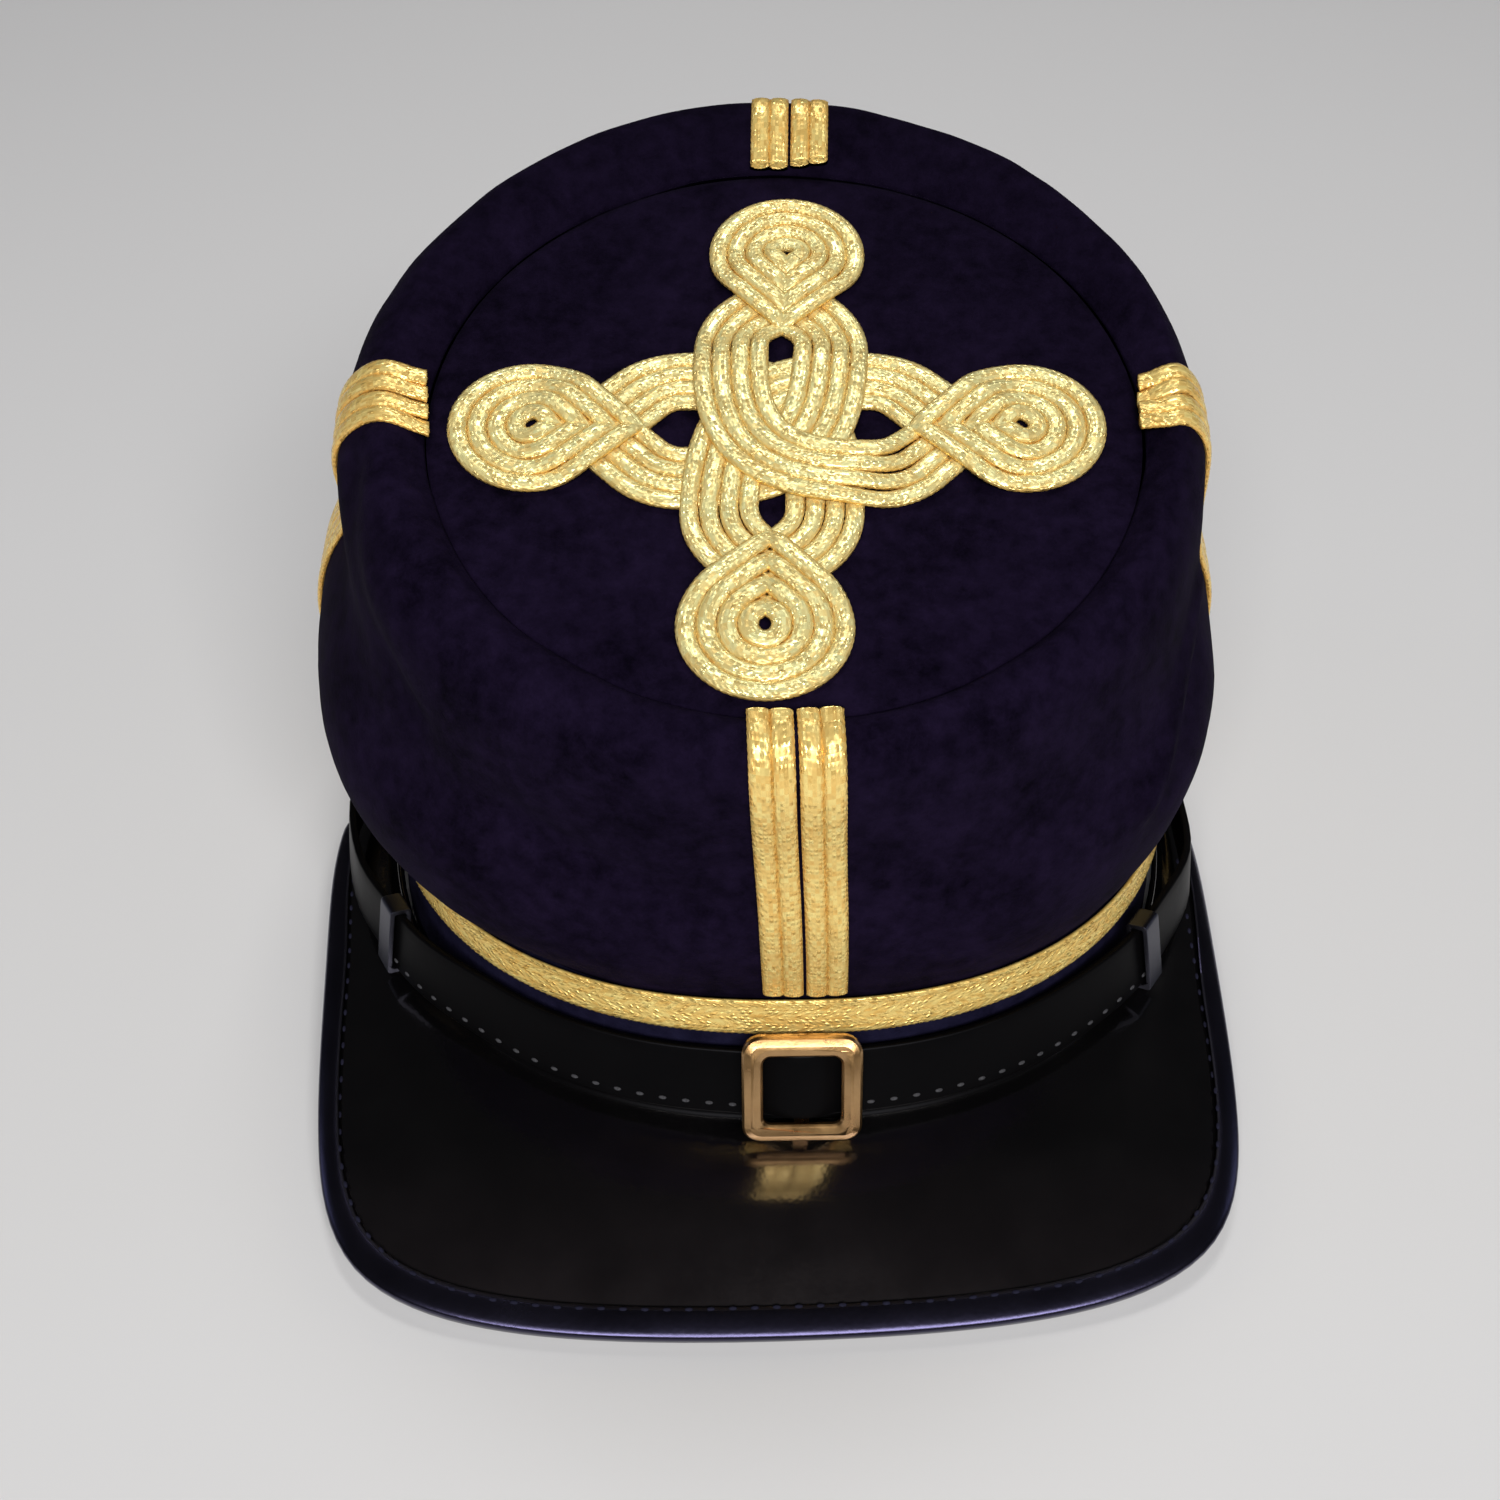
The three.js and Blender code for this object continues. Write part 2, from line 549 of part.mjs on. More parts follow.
function chinStrap() {
  const half = radians(STRAP_HALF_SPAN);
  const roundEnd = STRAP_WIDTH / 2 / BAND_SECTIONS[0].half;
  const coarse = Array.from({ length: STRAP_STEPS + 1 }, (_, i) => (i / STRAP_STEPS) * 2 * half - half);
  const near = BUCKLE_WIDTH / 3 / BAND_SECTIONS[0].half;
  const fine = Array.from({ length: 13 }, (_, i) => BUCKLE_ANGLE + (i / 6 - 1) * near);
  const apart = coarse.filter((angle) => Math.abs(angle - BUCKLE_ANGLE) > 1.25 * near);
  const ends = STRAP_END_SHARES.flatMap((share) => [-1, 1].map((side) => side * (half - share * roundEnd)));
  const angles = [...apart, ...fine, ...ends].sort((a, b) => a - b);
  const stations = angles.map((angle) => {
    const { middle, up, out } = strapFrame(angle);
    const bulge = slideBulge(angle);
    const at = (rise, depth) => middle.clone().addScaledVector(up, rise).addScaledVector(out, depth + bulge);
    const inEnd = THREE.MathUtils.clamp(1 - (half - Math.abs(angle)) / roundEnd, 0, STRAP_END_FLAT);
    const edge = (STRAP_WIDTH / 2) * Math.sqrt(1 - inEnd ** 2);
    return [at(edge, 0), at(edge, STRAP_THICK), at(-edge, STRAP_THICK), at(-edge, 0)];
  });
  return sweepLoops(stations, false);
}

function roundedRectangle(Type, width, height, radius) {
  const outline = new Type();
  const x = width / 2 - radius;
  const y = height / 2 - radius;
  outline.absarc(x, y, radius, 0, Math.PI / 2, false);
  outline.absarc(-x, y, radius, Math.PI / 2, Math.PI, false);
  outline.absarc(-x, -y, radius, Math.PI, 1.5 * Math.PI, false);
  outline.absarc(x, -y, radius, 1.5 * Math.PI, 2 * Math.PI, false);
  outline.closePath();
  return outline;
}

// Puts a mesh on the strap at an angle: local X along the strap, Y up it, Z out of it.
function seatOnStrap(mesh, angle) {
  const { middle, up, out } = strapFrame(angle);
  const along = up.clone().cross(out);
  mesh.quaternion.setFromRotationMatrix(new THREE.Matrix4().makeBasis(along, up, out));
  mesh.position.copy(middle);
  return mesh;
}

// Buckle: a frame in front of the strap and a bar behind it, joined above and below the strap.
function buckle() {
  const bevel = 0.5;
  const size = { width: BUCKLE_WIDTH - 2 * bevel, height: BUCKLE_HEIGHT - 2 * bevel };
  const outer = roundedRectangle(THREE.Shape, size.width, size.height, BUCKLE_CORNER.outer);
  const window = { width: BUCKLE_WIDTH - 2 * BUCKLE_BAR, height: BUCKLE_HEIGHT - 2 * BUCKLE_BAR };
  const hole = { width: window.width + 2 * bevel, height: window.height + 2 * bevel };
  outer.holes.push(roundedRectangle(THREE.Path, hole.width, hole.height, BUCKLE_CORNER.inner));
  const frame = new THREE.ExtrudeGeometry(outer, {
    depth: BUCKLE_THICK - 2 * bevel,
    bevelThickness: bevel,
    bevelSize: bevel,
    bevelSegments: 1,
    curveSegments: 3,
  });
  const front = STRAP_THICK + GAP + 2 * FACET_ROOM;
  frame.translate(0, 0, front + bevel);
  const reach = window.height + 2 * SLIDE_LUG;
  const bar = new THREE.BoxGeometry(SLIDE_BAR, reach, SLIDE_THICK).translate(0, 0, SLIDE_THICK / 2);
  let solid = solidFrom(frame).add(solidFrom(bar));
  for (const side of [-1, 1]) {
    const lug = new THREE.BoxGeometry(SLIDE_BAR, SLIDE_LUG, front + bevel);
    lug.translate(0, (side * (window.height + SLIDE_LUG)) / 2, (front + bevel) / 2);
    solid = solid.add(solidFrom(lug));
  }
  return geometryFrom(solid);
}

// Keeper: a leather loop round the strap.
function keeper() {
  const room = GAP + FACET_ROOM;
  const inner = { width: STRAP_THICK + 2 * room, height: STRAP_WIDTH + 2 * room };
  const shape = roundedRectangle(
    THREE.Shape,
    inner.width + 2 * KEEPER_THICK,
    inner.height + 2 * KEEPER_THICK,
    KEEPER_THICK,
  );
  shape.holes.push(roundedRectangle(THREE.Path, inner.width, inner.height, room));
  const settings = { depth: KEEPER_WIDTH, bevelEnabled: false, curveSegments: 2 };
  const loop = new THREE.ExtrudeGeometry(shape, settings);
  loop.rotateY(Math.PI / 2).translate(-KEEPER_WIDTH / 2, 0, STRAP_THICK / 2);
  return geometryFrom(solidFrom(loop));
}

// Plain domed button with its foot on the strap.
function sideButton() {
  const dome = 3.2;
  const rim = 1.0;
  const undercut = 0.6;
  const start = STRAP_THICK + GAP + 2 * FACET_ROOM;
  const profile = [new THREE.Vector2(0, start), new THREE.Vector2(BUTTON_RADIUS - undercut, start)];
  const steps = 5;
  for (let i = 0; i <= steps; i += 1) {
    const angle = ((i / steps) * Math.PI) / 2;
    const height = start + rim + (dome - rim) * Math.sin(angle);
    profile.push(new THREE.Vector2(i === steps ? 0 : BUTTON_RADIUS * Math.cos(angle), height));
  }
  const lathe = new THREE.LatheGeometry(profile, 20).rotateX(Math.PI / 2);
  return geometryFrom(solidFrom(lathe));
}

const FELT_NAVY = { color: 0x18102a, roughness: 0.95, metalness: 0 };
const GOLD_BRAID = { color: 0xd9ac4c, roughness: 0.4, metalness: 0.85 };
const BLACK_LEATHER = { color: 0x100e12, roughness: 0.3, metalness: 0 };
const BRASS = { color: 0xc39a5a, roughness: 0.3, metalness: 1 };

function piece(name, geometry, finish) {
  const mesh = new THREE.Mesh(geometry, new THREE.MeshStandardMaterial(finish));
  mesh.name = name;
  return mesh;
}

// The middle of the whole outline stands over the origin.
const kepi = new THREE.Group();
kepi.position.set(MIDDLE.x, MIDDLE.y, 0);

const crown = new THREE.Group();
crown.add(piece("crown_side", crownSide(), FELT_NAVY));
const frontTurn = Math.asin(FRONT_SHIFT / CROWN_SECTIONS[4].half);
const backTurn = Math.PI - Math.asin(BACK_SHIFT / CROWN_SECTIONS[4].half);
const sideTurn = radians(SIDE_BRAID_ANGLE);
crown.add(piece("front_braid", uprightBraid(frontTurn, BRAID_WIDTH.front), GOLD_BRAID));
crown.add(piece("right_braid", uprightBraid(sideTurn, BRAID_WIDTH.side), GOLD_BRAID));
crown.add(piece("back_braid", uprightBraid(backTurn, BRAID_WIDTH.back), GOLD_BRAID));
crown.add(piece("left_braid", uprightBraid(-sideTurn, BRAID_WIDTH.side), GOLD_BRAID));

const seam = CROWN_SECTIONS[TOP_LEVEL];
const tip = new THREE.Group();
tip.position.set(seam.shift, (seam.frontY + seam.backY) / 2, (seam.frontZ + seam.backZ) / 2);
tip.rotation.x = Math.atan2(seam.backZ - seam.frontZ, seam.backY - seam.frontY);
tip.add(piece("crown_tip", crownTip(), FELT_NAVY));
tip.add(piece("crown_knot", crownKnot(), GOLD_BRAID));
crown.add(tip);
kepi.add(crown);

const band = new THREE.Group();
band.add(piece("cap_band", capBand(), FELT_NAVY));
band.add(piece("band_braid", bandBraid(), GOLD_BRAID));
kepi.add(band);

const peakGroup = new THREE.Group();
peakGroup.add(piece("peak", peak(), BLACK_LEATHER));
peakGroup.add(piece("peak_binding", peakBinding(), BLACK_LEATHER));
kepi.add(peakGroup);

const strap = new THREE.Group();
strap.add(piece("chin_strap", chinStrap(), BLACK_LEATHER));
strap.add(seatOnStrap(piece("strap_buckle", buckle(), BRASS), BUCKLE_ANGLE));
for (const [side, turn] of [["left", -1], ["right", 1]]) {
  const keeperTurn = turn * radians(KEEPER_ANGLE[side]);
  strap.add(seatOnStrap(piece(`${side}_keeper`, keeper(), BLACK_LEATHER), keeperTurn));
  strap.add(seatOnStrap(piece(`${side}_button`, sideButton(), BRASS), turn * radians(BUTTON_ANGLE)));
}
kepi.add(strap);

export default kepi;
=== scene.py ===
# %% [markdown]
# # A kepi with gold braid
# A kepi is a soft felt cap with a round, tilted top, a leather peak and a chin strap. This lesson dresses a
# frame of plain solids: each solid is where its piece belongs, and the finished pieces are modelled over
# them. Everything is in metres, the floor is z = 0 and the front of the cap looks along -Y.

# %% Load the frame
from math import pi, radians

import bpy
import numpy as np
from mathutils import Matrix, Vector
from mathutils.bvhtree import BVHTree


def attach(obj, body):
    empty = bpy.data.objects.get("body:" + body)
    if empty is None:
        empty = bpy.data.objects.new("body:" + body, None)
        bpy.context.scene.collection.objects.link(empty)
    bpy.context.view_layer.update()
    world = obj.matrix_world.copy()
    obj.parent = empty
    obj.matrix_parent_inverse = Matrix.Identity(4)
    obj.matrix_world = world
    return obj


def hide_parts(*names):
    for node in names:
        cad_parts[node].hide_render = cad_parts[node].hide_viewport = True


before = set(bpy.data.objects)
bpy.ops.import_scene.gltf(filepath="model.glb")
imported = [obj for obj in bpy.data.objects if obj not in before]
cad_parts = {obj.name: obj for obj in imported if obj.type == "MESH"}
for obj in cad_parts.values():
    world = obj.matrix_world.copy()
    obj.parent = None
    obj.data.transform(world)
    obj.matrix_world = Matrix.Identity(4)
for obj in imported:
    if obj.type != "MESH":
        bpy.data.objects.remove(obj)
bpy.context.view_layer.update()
MM = 0.001
print("the frame holds", len(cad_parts), "solids")

# %% [markdown]
# ## The camera
# The cap is seen from the front and from above, with the camera pitched 45 degrees down. A camera looks
# along its own -Z, so a turn of 45 degrees about X points it forwards and down. The lens was worked out
# from how fast the round top shrinks from front to back.

# %% Place the camera
bpy.ops.object.select_all(action="DESELECT")
bpy.ops.object.camera_add(location=(-0.004, -0.2675, 0.310), rotation=(radians(45), 0, 0))
camera = bpy.context.object
camera.data.lens = 39.8
bpy.context.scene.camera = camera
print("camera at", tuple(camera.location), "lens", camera.data.lens)

# %% [markdown]
# ## Floor and light
# A pale floor and a nearly dark world: the panels do the lighting, and polished leather stays black
# wherever it mirrors no panel. The wide front panel hangs low enough that only the rolled edge of the peak
# mirrors it. The back panel hangs where the flat top mirrors it towards the camera, which is what lights up
# the gold. Two cool side panels draw the thin lines on the strap and the loops. Standard colours keep the
# gold as strong as it is.

# %% Lay the floor
bpy.ops.mesh.primitive_plane_add(size=8)
floor = bpy.context.object
floor.name = "floor"
bpy.context.scene.view_settings.view_transform = "Standard"

world = bpy.data.worlds.new("studio")
bpy.context.scene.world = world
world.use_nodes = True
world.node_tree.nodes["Background"].inputs["Color"].default_value = (0.90, 0.92, 1.0, 1)
world.node_tree.nodes["Background"].inputs["Strength"].default_value = 0.014
print("floor", floor.dimensions[:])


# %% Hang the light panels
def panel(name, place, target, size, power, colour):
    """A soft rectangular light at a place, turned to face a target."""
    facing = (Vector(target) - Vector(place)).to_track_quat("-Z", "Y").to_euler()
    bpy.ops.object.light_add(type="AREA", location=place, rotation=facing)
    light = bpy.context.object
    light.name = name
    light.data.shape = "RECTANGLE"
    light.data.size, light.data.size_y = size
    light.data.energy = power
    light.data.color = colour


WHITE, COOL = (1.0, 0.985, 0.97), (0.72, 0.78, 1.0)
panel("front", (0.12, -1.45, 1.38), (0, 0, 0.06), (1.7, 0.5), 42, WHITE)
panel("back", (0.05, 0.74, 1.45), (0, 0, 0.10), (0.6, 0.42), 7, WHITE)
panel("left", (-1.5, 0.25, 0.75), (0, 0, 0.05), (0.35, 0.8), 0.9, COOL)
panel("right", (1.5, 0.25, 0.75), (0, 0, 0.05), (0.35, 0.8), 0.9, COOL)

# %% [markdown]
# ## Writing materials as sums
# A material is a graph of nodes. Wrapping a socket in a small class lets the maths be written as Python:
# every operator adds one Math node, and `node` adds any other kind, with its settings first and then its
# sockets.


# %% A socket that can be reckoned with
class Wire:
    """A socket of a material's graph that Python's operators work on."""

    def __init__(self, tree, socket=None):
        self.tree = tree
        self.socket = socket

    def node(self, kind, settings=None, inputs=None, output=0):
        made = self.tree.nodes.new("ShaderNode" + kind)
        for key, value in (settings or {}).items():
            setattr(made, key, value)
        for key, value in (inputs or {}).items():
            if isinstance(value, Wire):
                self.tree.links.new(value.socket, made.inputs[key])
            else:
                made.inputs[key].default_value = value
        return Wire(self.tree, made.outputs[output])

    def maths(self, operation, first, second=0.0):
        return self.node("Math", {"operation": operation}, {0: first, 1: second})

    def __add__(self, other):
        return self.maths("ADD", self, other)

    def __radd__(self, other):
        return self.maths("ADD", other, self)

    def __sub__(self, other):
        return self.maths("SUBTRACT", self, other)

    def __rsub__(self, other):
        return self.maths("SUBTRACT", other, self)

    def __mul__(self, other):
        return self.maths("MULTIPLY", self, other)

    def mix(self, dark, light):
        """A colour between two, with this value as the share of the second."""
        first, second = [c if isinstance(c, Wire) else (*c, 1) for c in (dark, light)]
        return self.node("Mix", {"data_type": "RGBA"}, {"Factor": self, 6: first, 7: second}, 2)

    def spread(self, low, high):
        """0 at one value, 1 at another, and no further."""
        return self.node("MapRange", {"clamp": True}, {"Value": self, "From Min": low, "From Max": high})

    def feed(self, shader, name):
        self.tree.links.new(self.socket, shader.inputs[name])


def new_finish(name, **constants):
    """A material whose unchanging numbers and colours sit on the shader's own sockets."""
    material = bpy.data.materials.new(name)
    material.use_nodes = True
    shader = material.node_tree.nodes["Principled BSDF"]
    for key, value in constants.items():
        shader.inputs[key.replace("_", " ")].default_value = value
    return material, shader, Wire(material.node_tree)


def noise(graph, place, scale, detail=3.0, rough=0.55):
    """Cloudy noise; the scale is in clouds to the metre."""
    return graph.node("TexNoise", {}, {"Vector": place, "Scale": scale, "Detail": detail, "Roughness": rough})


def bump(graph, height, strength, distance):
    """Bends the shading as if the surface stood up by a height, with the distance in metres."""
    return graph.node("Bump", {}, {"Strength": strength, "Distance": distance, "Height": height})


print("materials are written with", Wire.__name__)

# %% [markdown]
# ## The floor's finish
# Painted board: an even pale grey with the faintest cloud in it, so it isn't a flat number.

# %% Finish the floor
floor_paint, shader, graph = new_finish("pale_floor", Roughness=0.9, Specular_IOR_Level=0.1)
place = graph.node("TexCoord", {}, {}, 3)
noise(graph, place, 3.0).mix((0.695, 0.695, 0.70), (0.715, 0.715, 0.72)).feed(shader, "Base Color")
floor.data.materials.append(floor_paint)
print("floor finish:", floor_paint.name)

# %% [markdown]
# ## Navy felt
# Felt is pressed wool. Its hairs lie every way, so it has no mirror in it, only a weak violet bloom where
# it faces the light, and it looks mottled close up. Two sizes of noise give the mottling, a fine one gives
# the hairs, and the finer two raise the surface a little through a bump. The colour is also mixed darker
# towards the back as painted shade, where less light falls. The band is cut from a bluer cloth than the
# crown.

# %% Mix the felt
# painted shade: the felt's colour is mixed darker towards the back, where less light falls
SHADE_FROM_TO, LIGHT_LEFT_AT_BACK = (0.10, -0.04), 0.58  # from back to front in metres, and how light the back is


def felt_finish(name, dark, light):
    """Wool felt, mottled between two colours, and mixed darker towards the back as painted shade."""
    material, shader, graph = new_finish(
        name, Specular_IOR_Level=0.05, Specular_Tint=(0.66, 0.52, 1.0, 1),
        Sheen_Weight=0.004, Sheen_Roughness=0.45, Sheen_Tint=(0.60, 0.48, 0.9, 1))
    place = graph.node("TexCoord", {}, {}, 3)
    cloud = noise(graph, place, 60.0, 5.0)
    fleck = noise(graph, place, 300.0, 4.0)
    hair = noise(graph, place, 1600.0, 4.0, 0.7)
    mottle = cloud * 0.4 + fleck * 0.4 + hair * 0.2
    # painted shade: the mottled colour is darkened towards the back
    lit_to_front = graph.node("SeparateXYZ", {}, {"Vector": place}, 1).spread(*SHADE_FROM_TO)
    mottle_and_shade = mottle.spread(0.36, 0.66) * (lit_to_front * (1 - LIGHT_LEFT_AT_BACK) + LIGHT_LEFT_AT_BACK)
    mottle_and_shade.mix(dark, light).feed(shader, "Base Color")
    (0.85 + fleck * 0.12).feed(shader, "Roughness")
    bump(graph, fleck * 0.6 + hair * 0.4, 0.55, 0.0008).feed(shader, "Normal")
    return material


crown_cloth = felt_finish("crown_cloth", (0.0014, 0.0008, 0.0032), (0.0104, 0.0061, 0.0212))
band_cloth = felt_finish("band_cloth", (0.0045, 0.0042, 0.0130), (0.0140, 0.0130, 0.0360))
print("felt finishes:", crown_cloth.name, band_cloth.name)

# %% [markdown]
# ## Black leather
# The peak and the strap are black leather, polished to different degrees. The colour hardly varies; what
# makes it leather is the fine pebbled grain under the gloss, and a polish that is a little cloudy, so
# roughness and bump carry the detail. Towards the front of the peak the black is mixed a little lighter and
# browner: this is painted light.

# %% Mix the leather
# painted light: a lighter brown that is mixed into the black towards the front of the peak
PAINTED_GLOW, GLOW_FROM_TO = (0.0100, 0.0078, 0.0088), (-0.082, -0.116)  # a brown, and its reach in metres


def leather_finish(name, shine, dullness, tint, coat=0.0, glow_share=0.0):
    """Black leather: refractive index, least roughness, tint of the shine, shares of lacquer and of painted
    light.
    """
    material, shader, graph = new_finish(name, IOR=shine, Coat_Roughness=0.06, Specular_Tint=(*tint, 1))
    place = graph.node("TexCoord", {}, {}, 3)
    cells = {"Vector": place, "Scale": 1100.0, "Smoothness": 0.6}
    pebble = graph.node("TexVoronoi", {"feature": "SMOOTH_F1"}, cells)
    smear = noise(graph, place, 70.0, 5.0)
    fine = noise(graph, place, 900.0, 4.0)
    black = smear.mix((0.0014, 0.0013, 0.0015), (0.0030, 0.0028, 0.0031))
    if glow_share:
        # painted light: the black is mixed lighter and browner towards the front
        lit_to_front = graph.node("SeparateXYZ", {}, {"Vector": place}, 1).spread(*GLOW_FROM_TO)
        black = (lit_to_front * (smear + 0.3) * glow_share).mix(black, PAINTED_GLOW)
    black.feed(shader, "Base Color")
    (dullness + smear * 0.12 + fine * 0.04).feed(shader, "Roughness")
    if coat:
        (smear * coat).feed(shader, "Coat Weight")
    bump(graph, pebble * 0.6 + fine * 0.4, 0.045, 0.0004).feed(shader, "Normal")
    return material


# painted light towards the front: the full share on the peak, half on the binding's flat
peak_black = leather_finish("polished_leather", 2.1, 0.05, (1.0, 0.95, 0.94), 0.63, 1.0)
edge_black = leather_finish("edge_polish", 1.75, 0.17, (0.56, 0.52, 1.0))
binding_black = leather_finish("binding_leather", 1.32, 0.40, (0.7, 0.68, 1.0), 0.0, 0.5)
strap_black = leather_finish("dull_leather", 1.13, 0.30, (0.9, 0.9, 1.0))
loop_black = leather_finish("loop_leather", 1.75, 0.30, (0.70, 0.72, 1.0))
print("leather finishes:", [m.name for m in (peak_black, edge_black, binding_black, strap_black, loop_black)])

# %% [markdown]
# ## Gold thread
# The cords are wound with gilt thread. Each pass of the thread is a tiny mirror lying at its own angle, so
# the gold glitters. Painted glints add to it: bright and dull passes are mixed side by side in the colour,
# and painted shade makes the hollows between two cords ochre, with the tops of the cords lighter.
# Every cord below carries two numbers on its points, how far along it they are in millimetres and which row
# they belong to, with the turn round the cord as the fraction. From these the graph divides a cord into
# small fields, and random numbers for each field set its colour, its polish and its height.

# %% Mix the gold
PASS = 1.3  # millimetres from one pass of thread to the next


def gold_finish(name, dull, bright, relief, strands, hollow):
    """Gilt thread with painted glints between a dull and a bright colour, so many strands round a cord, and
    so much painted shade in the hollow beside it.
    """
    material, shader, graph = new_finish(name, Metallic=0.42, Specular_IOR_Level=0.7)
    along = graph.node("Attribute", {"attribute_name": "along"}, {}, 2)
    across = graph.node("Attribute", {"attribute_name": "across"}, {}, 2)
    row = graph.maths("FLOOR", across)
    turn = across - row
    passes = along * (1 / PASS) + turn * (graph.maths("PINGPONG", row, 1.0) * 2.0 - 1.0) * 1.6
    strand = across * strands
    whole = [graph.maths("FLOOR", count) for count in (passes, strand)]
    cell = graph.node("CombineXYZ", {}, {"X": whole[0], "Y": whole[1]})
    chance = graph.node("TexWhiteNoise", {"noise_dimensions": "2D"}, {"Vector": cell}, 1)
    first, second, painted_glint = [graph.node("SeparateColor", {}, {"Color": chance}, k) for k in range(3)]
    tarnish = noise(graph, graph.node("TexCoord", {}, {}, 3), 160.0)
    # painted shade: the colour darkens towards the hollows beside each cord and is lightest on its top
    ridge = (graph.maths("ABSOLUTE", turn - 0.5)).spread(0.26, 0.10) * hollow + (1 - hollow)
    # painted glints: random passes are mixed towards the bright colour; the tarnish cloud is the thread's own
    # tone
    ((painted_glint * 0.45 + tarnish * 0.35 + 0.2) * ridge).mix(dull, bright).feed(shader, "Base Color")
    (0.50 - second * 0.30).feed(shader, "Roughness")
    field = graph.maths("PINGPONG", passes, 0.5) * graph.maths("PINGPONG", strand, 0.5) * 4.0
    bump(graph, field * (first - 0.35), relief, 0.0005).feed(shader, "Normal")
    return material


pale_gold = gold_finish("pale_gilt_thread", (0.80, 0.45, 0.075), (1.0, 1.0, 0.50), 0.8, 16.0, 0.75)
deep_gold = gold_finish("deep_gilt_thread", (0.76, 0.36, 0.045), (1.0, 0.84, 0.31), 0.7, 16.0, 0.65)
woven_gold = gold_finish("woven_gilt_thread", (0.78, 0.38, 0.045), (1.0, 0.84, 0.30), 1.3, 3.0, 0.15)
print("gold finishes:", pale_gold.name, deep_gold.name, woven_gold.name)

# %% [markdown]
# ## Brass and thread
# The buckle is cast brass, handled smooth: warm, a little dull, with a fine cloud of tarnish. The stitches
# are waxed grey thread.

# %% Mix the brass and the thread
brass, shader, graph = new_finish("cast_brass", Metallic=1.0, Coat_Weight=0.6, Coat_Roughness=0.18)
place = graph.node("TexCoord", {}, {}, 3)
cloud = noise(graph, place, 240.0, 5.0)
cloud.mix((0.36, 0.185, 0.062), (0.66, 0.41, 0.18)).feed(shader, "Base Color")
(0.20 + cloud * 0.20).feed(shader, "Roughness")
bump(graph, noise(graph, place, 1400.0, 4.0), 0.12, 0.0003).feed(shader, "Normal")


def thread_finish(name, dark, light):
    material, shader, graph = new_finish(name, Roughness=0.85, Specular_IOR_Level=0.04)
    place = graph.node("TexCoord", {}, {}, 3)
    noise(graph, place, 2500.0).mix(dark, light).feed(shader, "Base Color")
    return material


pale_thread = thread_finish("pale_thread", (0.012, 0.012, 0.014), (0.11, 0.11, 0.12))
black_thread = thread_finish("black_thread", (0.006, 0.006, 0.012), (0.026, 0.026, 0.050))
print("metal and thread:", brass.name, pale_thread.name, black_thread.name)

# %% [markdown]
# ## Working on a copy of a solid
# A solid of the frame is a heap of loose triangles and is never changed. A copy of it is welded, its
# triangles are paired back into quads, and then modifiers can round and smooth it.


# %% Helpers for copies and modifiers
def only(piece):
    """Selects one piece alone and makes it the active one."""
    bpy.ops.object.select_all(action="DESELECT")
    piece.select_set(True)
    bpy.context.view_layer.objects.active = piece


def copy_of(node, name):
    """A separate, welded copy of a solid, in quads."""
    piece = bpy.data.objects.new(name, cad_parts[node].data.copy())
    bpy.context.scene.collection.objects.link(piece)
    piece.data.materials.clear()
    only(piece)
    bpy.ops.mesh.customdata_custom_splitnormals_clear()
    bpy.ops.object.mode_set(mode="EDIT")
    bpy.ops.mesh.select_all(action="SELECT")
    bpy.ops.mesh.remove_doubles(threshold=0.02 * MM)
    bpy.ops.mesh.tris_convert_to_quads(face_threshold=radians(70), shape_threshold=radians(70))
    bpy.ops.object.mode_set(mode="OBJECT")
    return piece


def shape_with(piece, kind, **settings):
    """Adds a modifier, sets it and applies it."""
    only(piece)
    modifier = piece.modifiers.new(kind.lower(), kind)
    for key, value in settings.items():
        setattr(modifier, key, value)
    bpy.ops.object.modifier_apply(modifier=modifier.name)


def smooth(piece, levels):
    shape_with(piece, "SUBSURF", levels=levels, render_levels=levels)


def hold_corners(piece, sharpness):
    """Creases the edges that are sharper than an angle, so that subdivision keeps them."""
    only(piece)
    bpy.ops.object.mode_set(mode="EDIT")
    bpy.ops.mesh.select_mode(type="EDGE")
    bpy.ops.mesh.select_all(action="DESELECT")
    bpy.ops.mesh.edges_select_sharp(sharpness=sharpness)
    bpy.ops.transform.edge_crease(value=1)
    bpy.ops.object.mode_set(mode="OBJECT")


def dress(piece, finish, slot, *nodes):
    """Gives a piece its material and its body, and hides the solids it stands for. The slot is not used."""
    piece.data.materials.clear()
    piece.data.materials.append(finish)
    only(piece)
    bpy.ops.object.shade_smooth()
    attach(piece, "root")
    if nodes:
        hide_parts(*nodes)
    sizes = [round(size / MM, 1) for size in piece.dimensions]
    print(piece.name, len(piece.data.polygons), "faces, box in mm", sizes)


# %% [markdown]
# ## The felt crown
# The crown is a felt wall that rolls over at the top and folds in at the waist. The solid has the folds
# already, in coarse steps. Two rounds of subdivision turn the steps into soft cloth, and a displacement by
# a cloud pattern adds the small unevenness of pressed felt. The few sharper folds are pressed in along
# lines, as with a thumb.

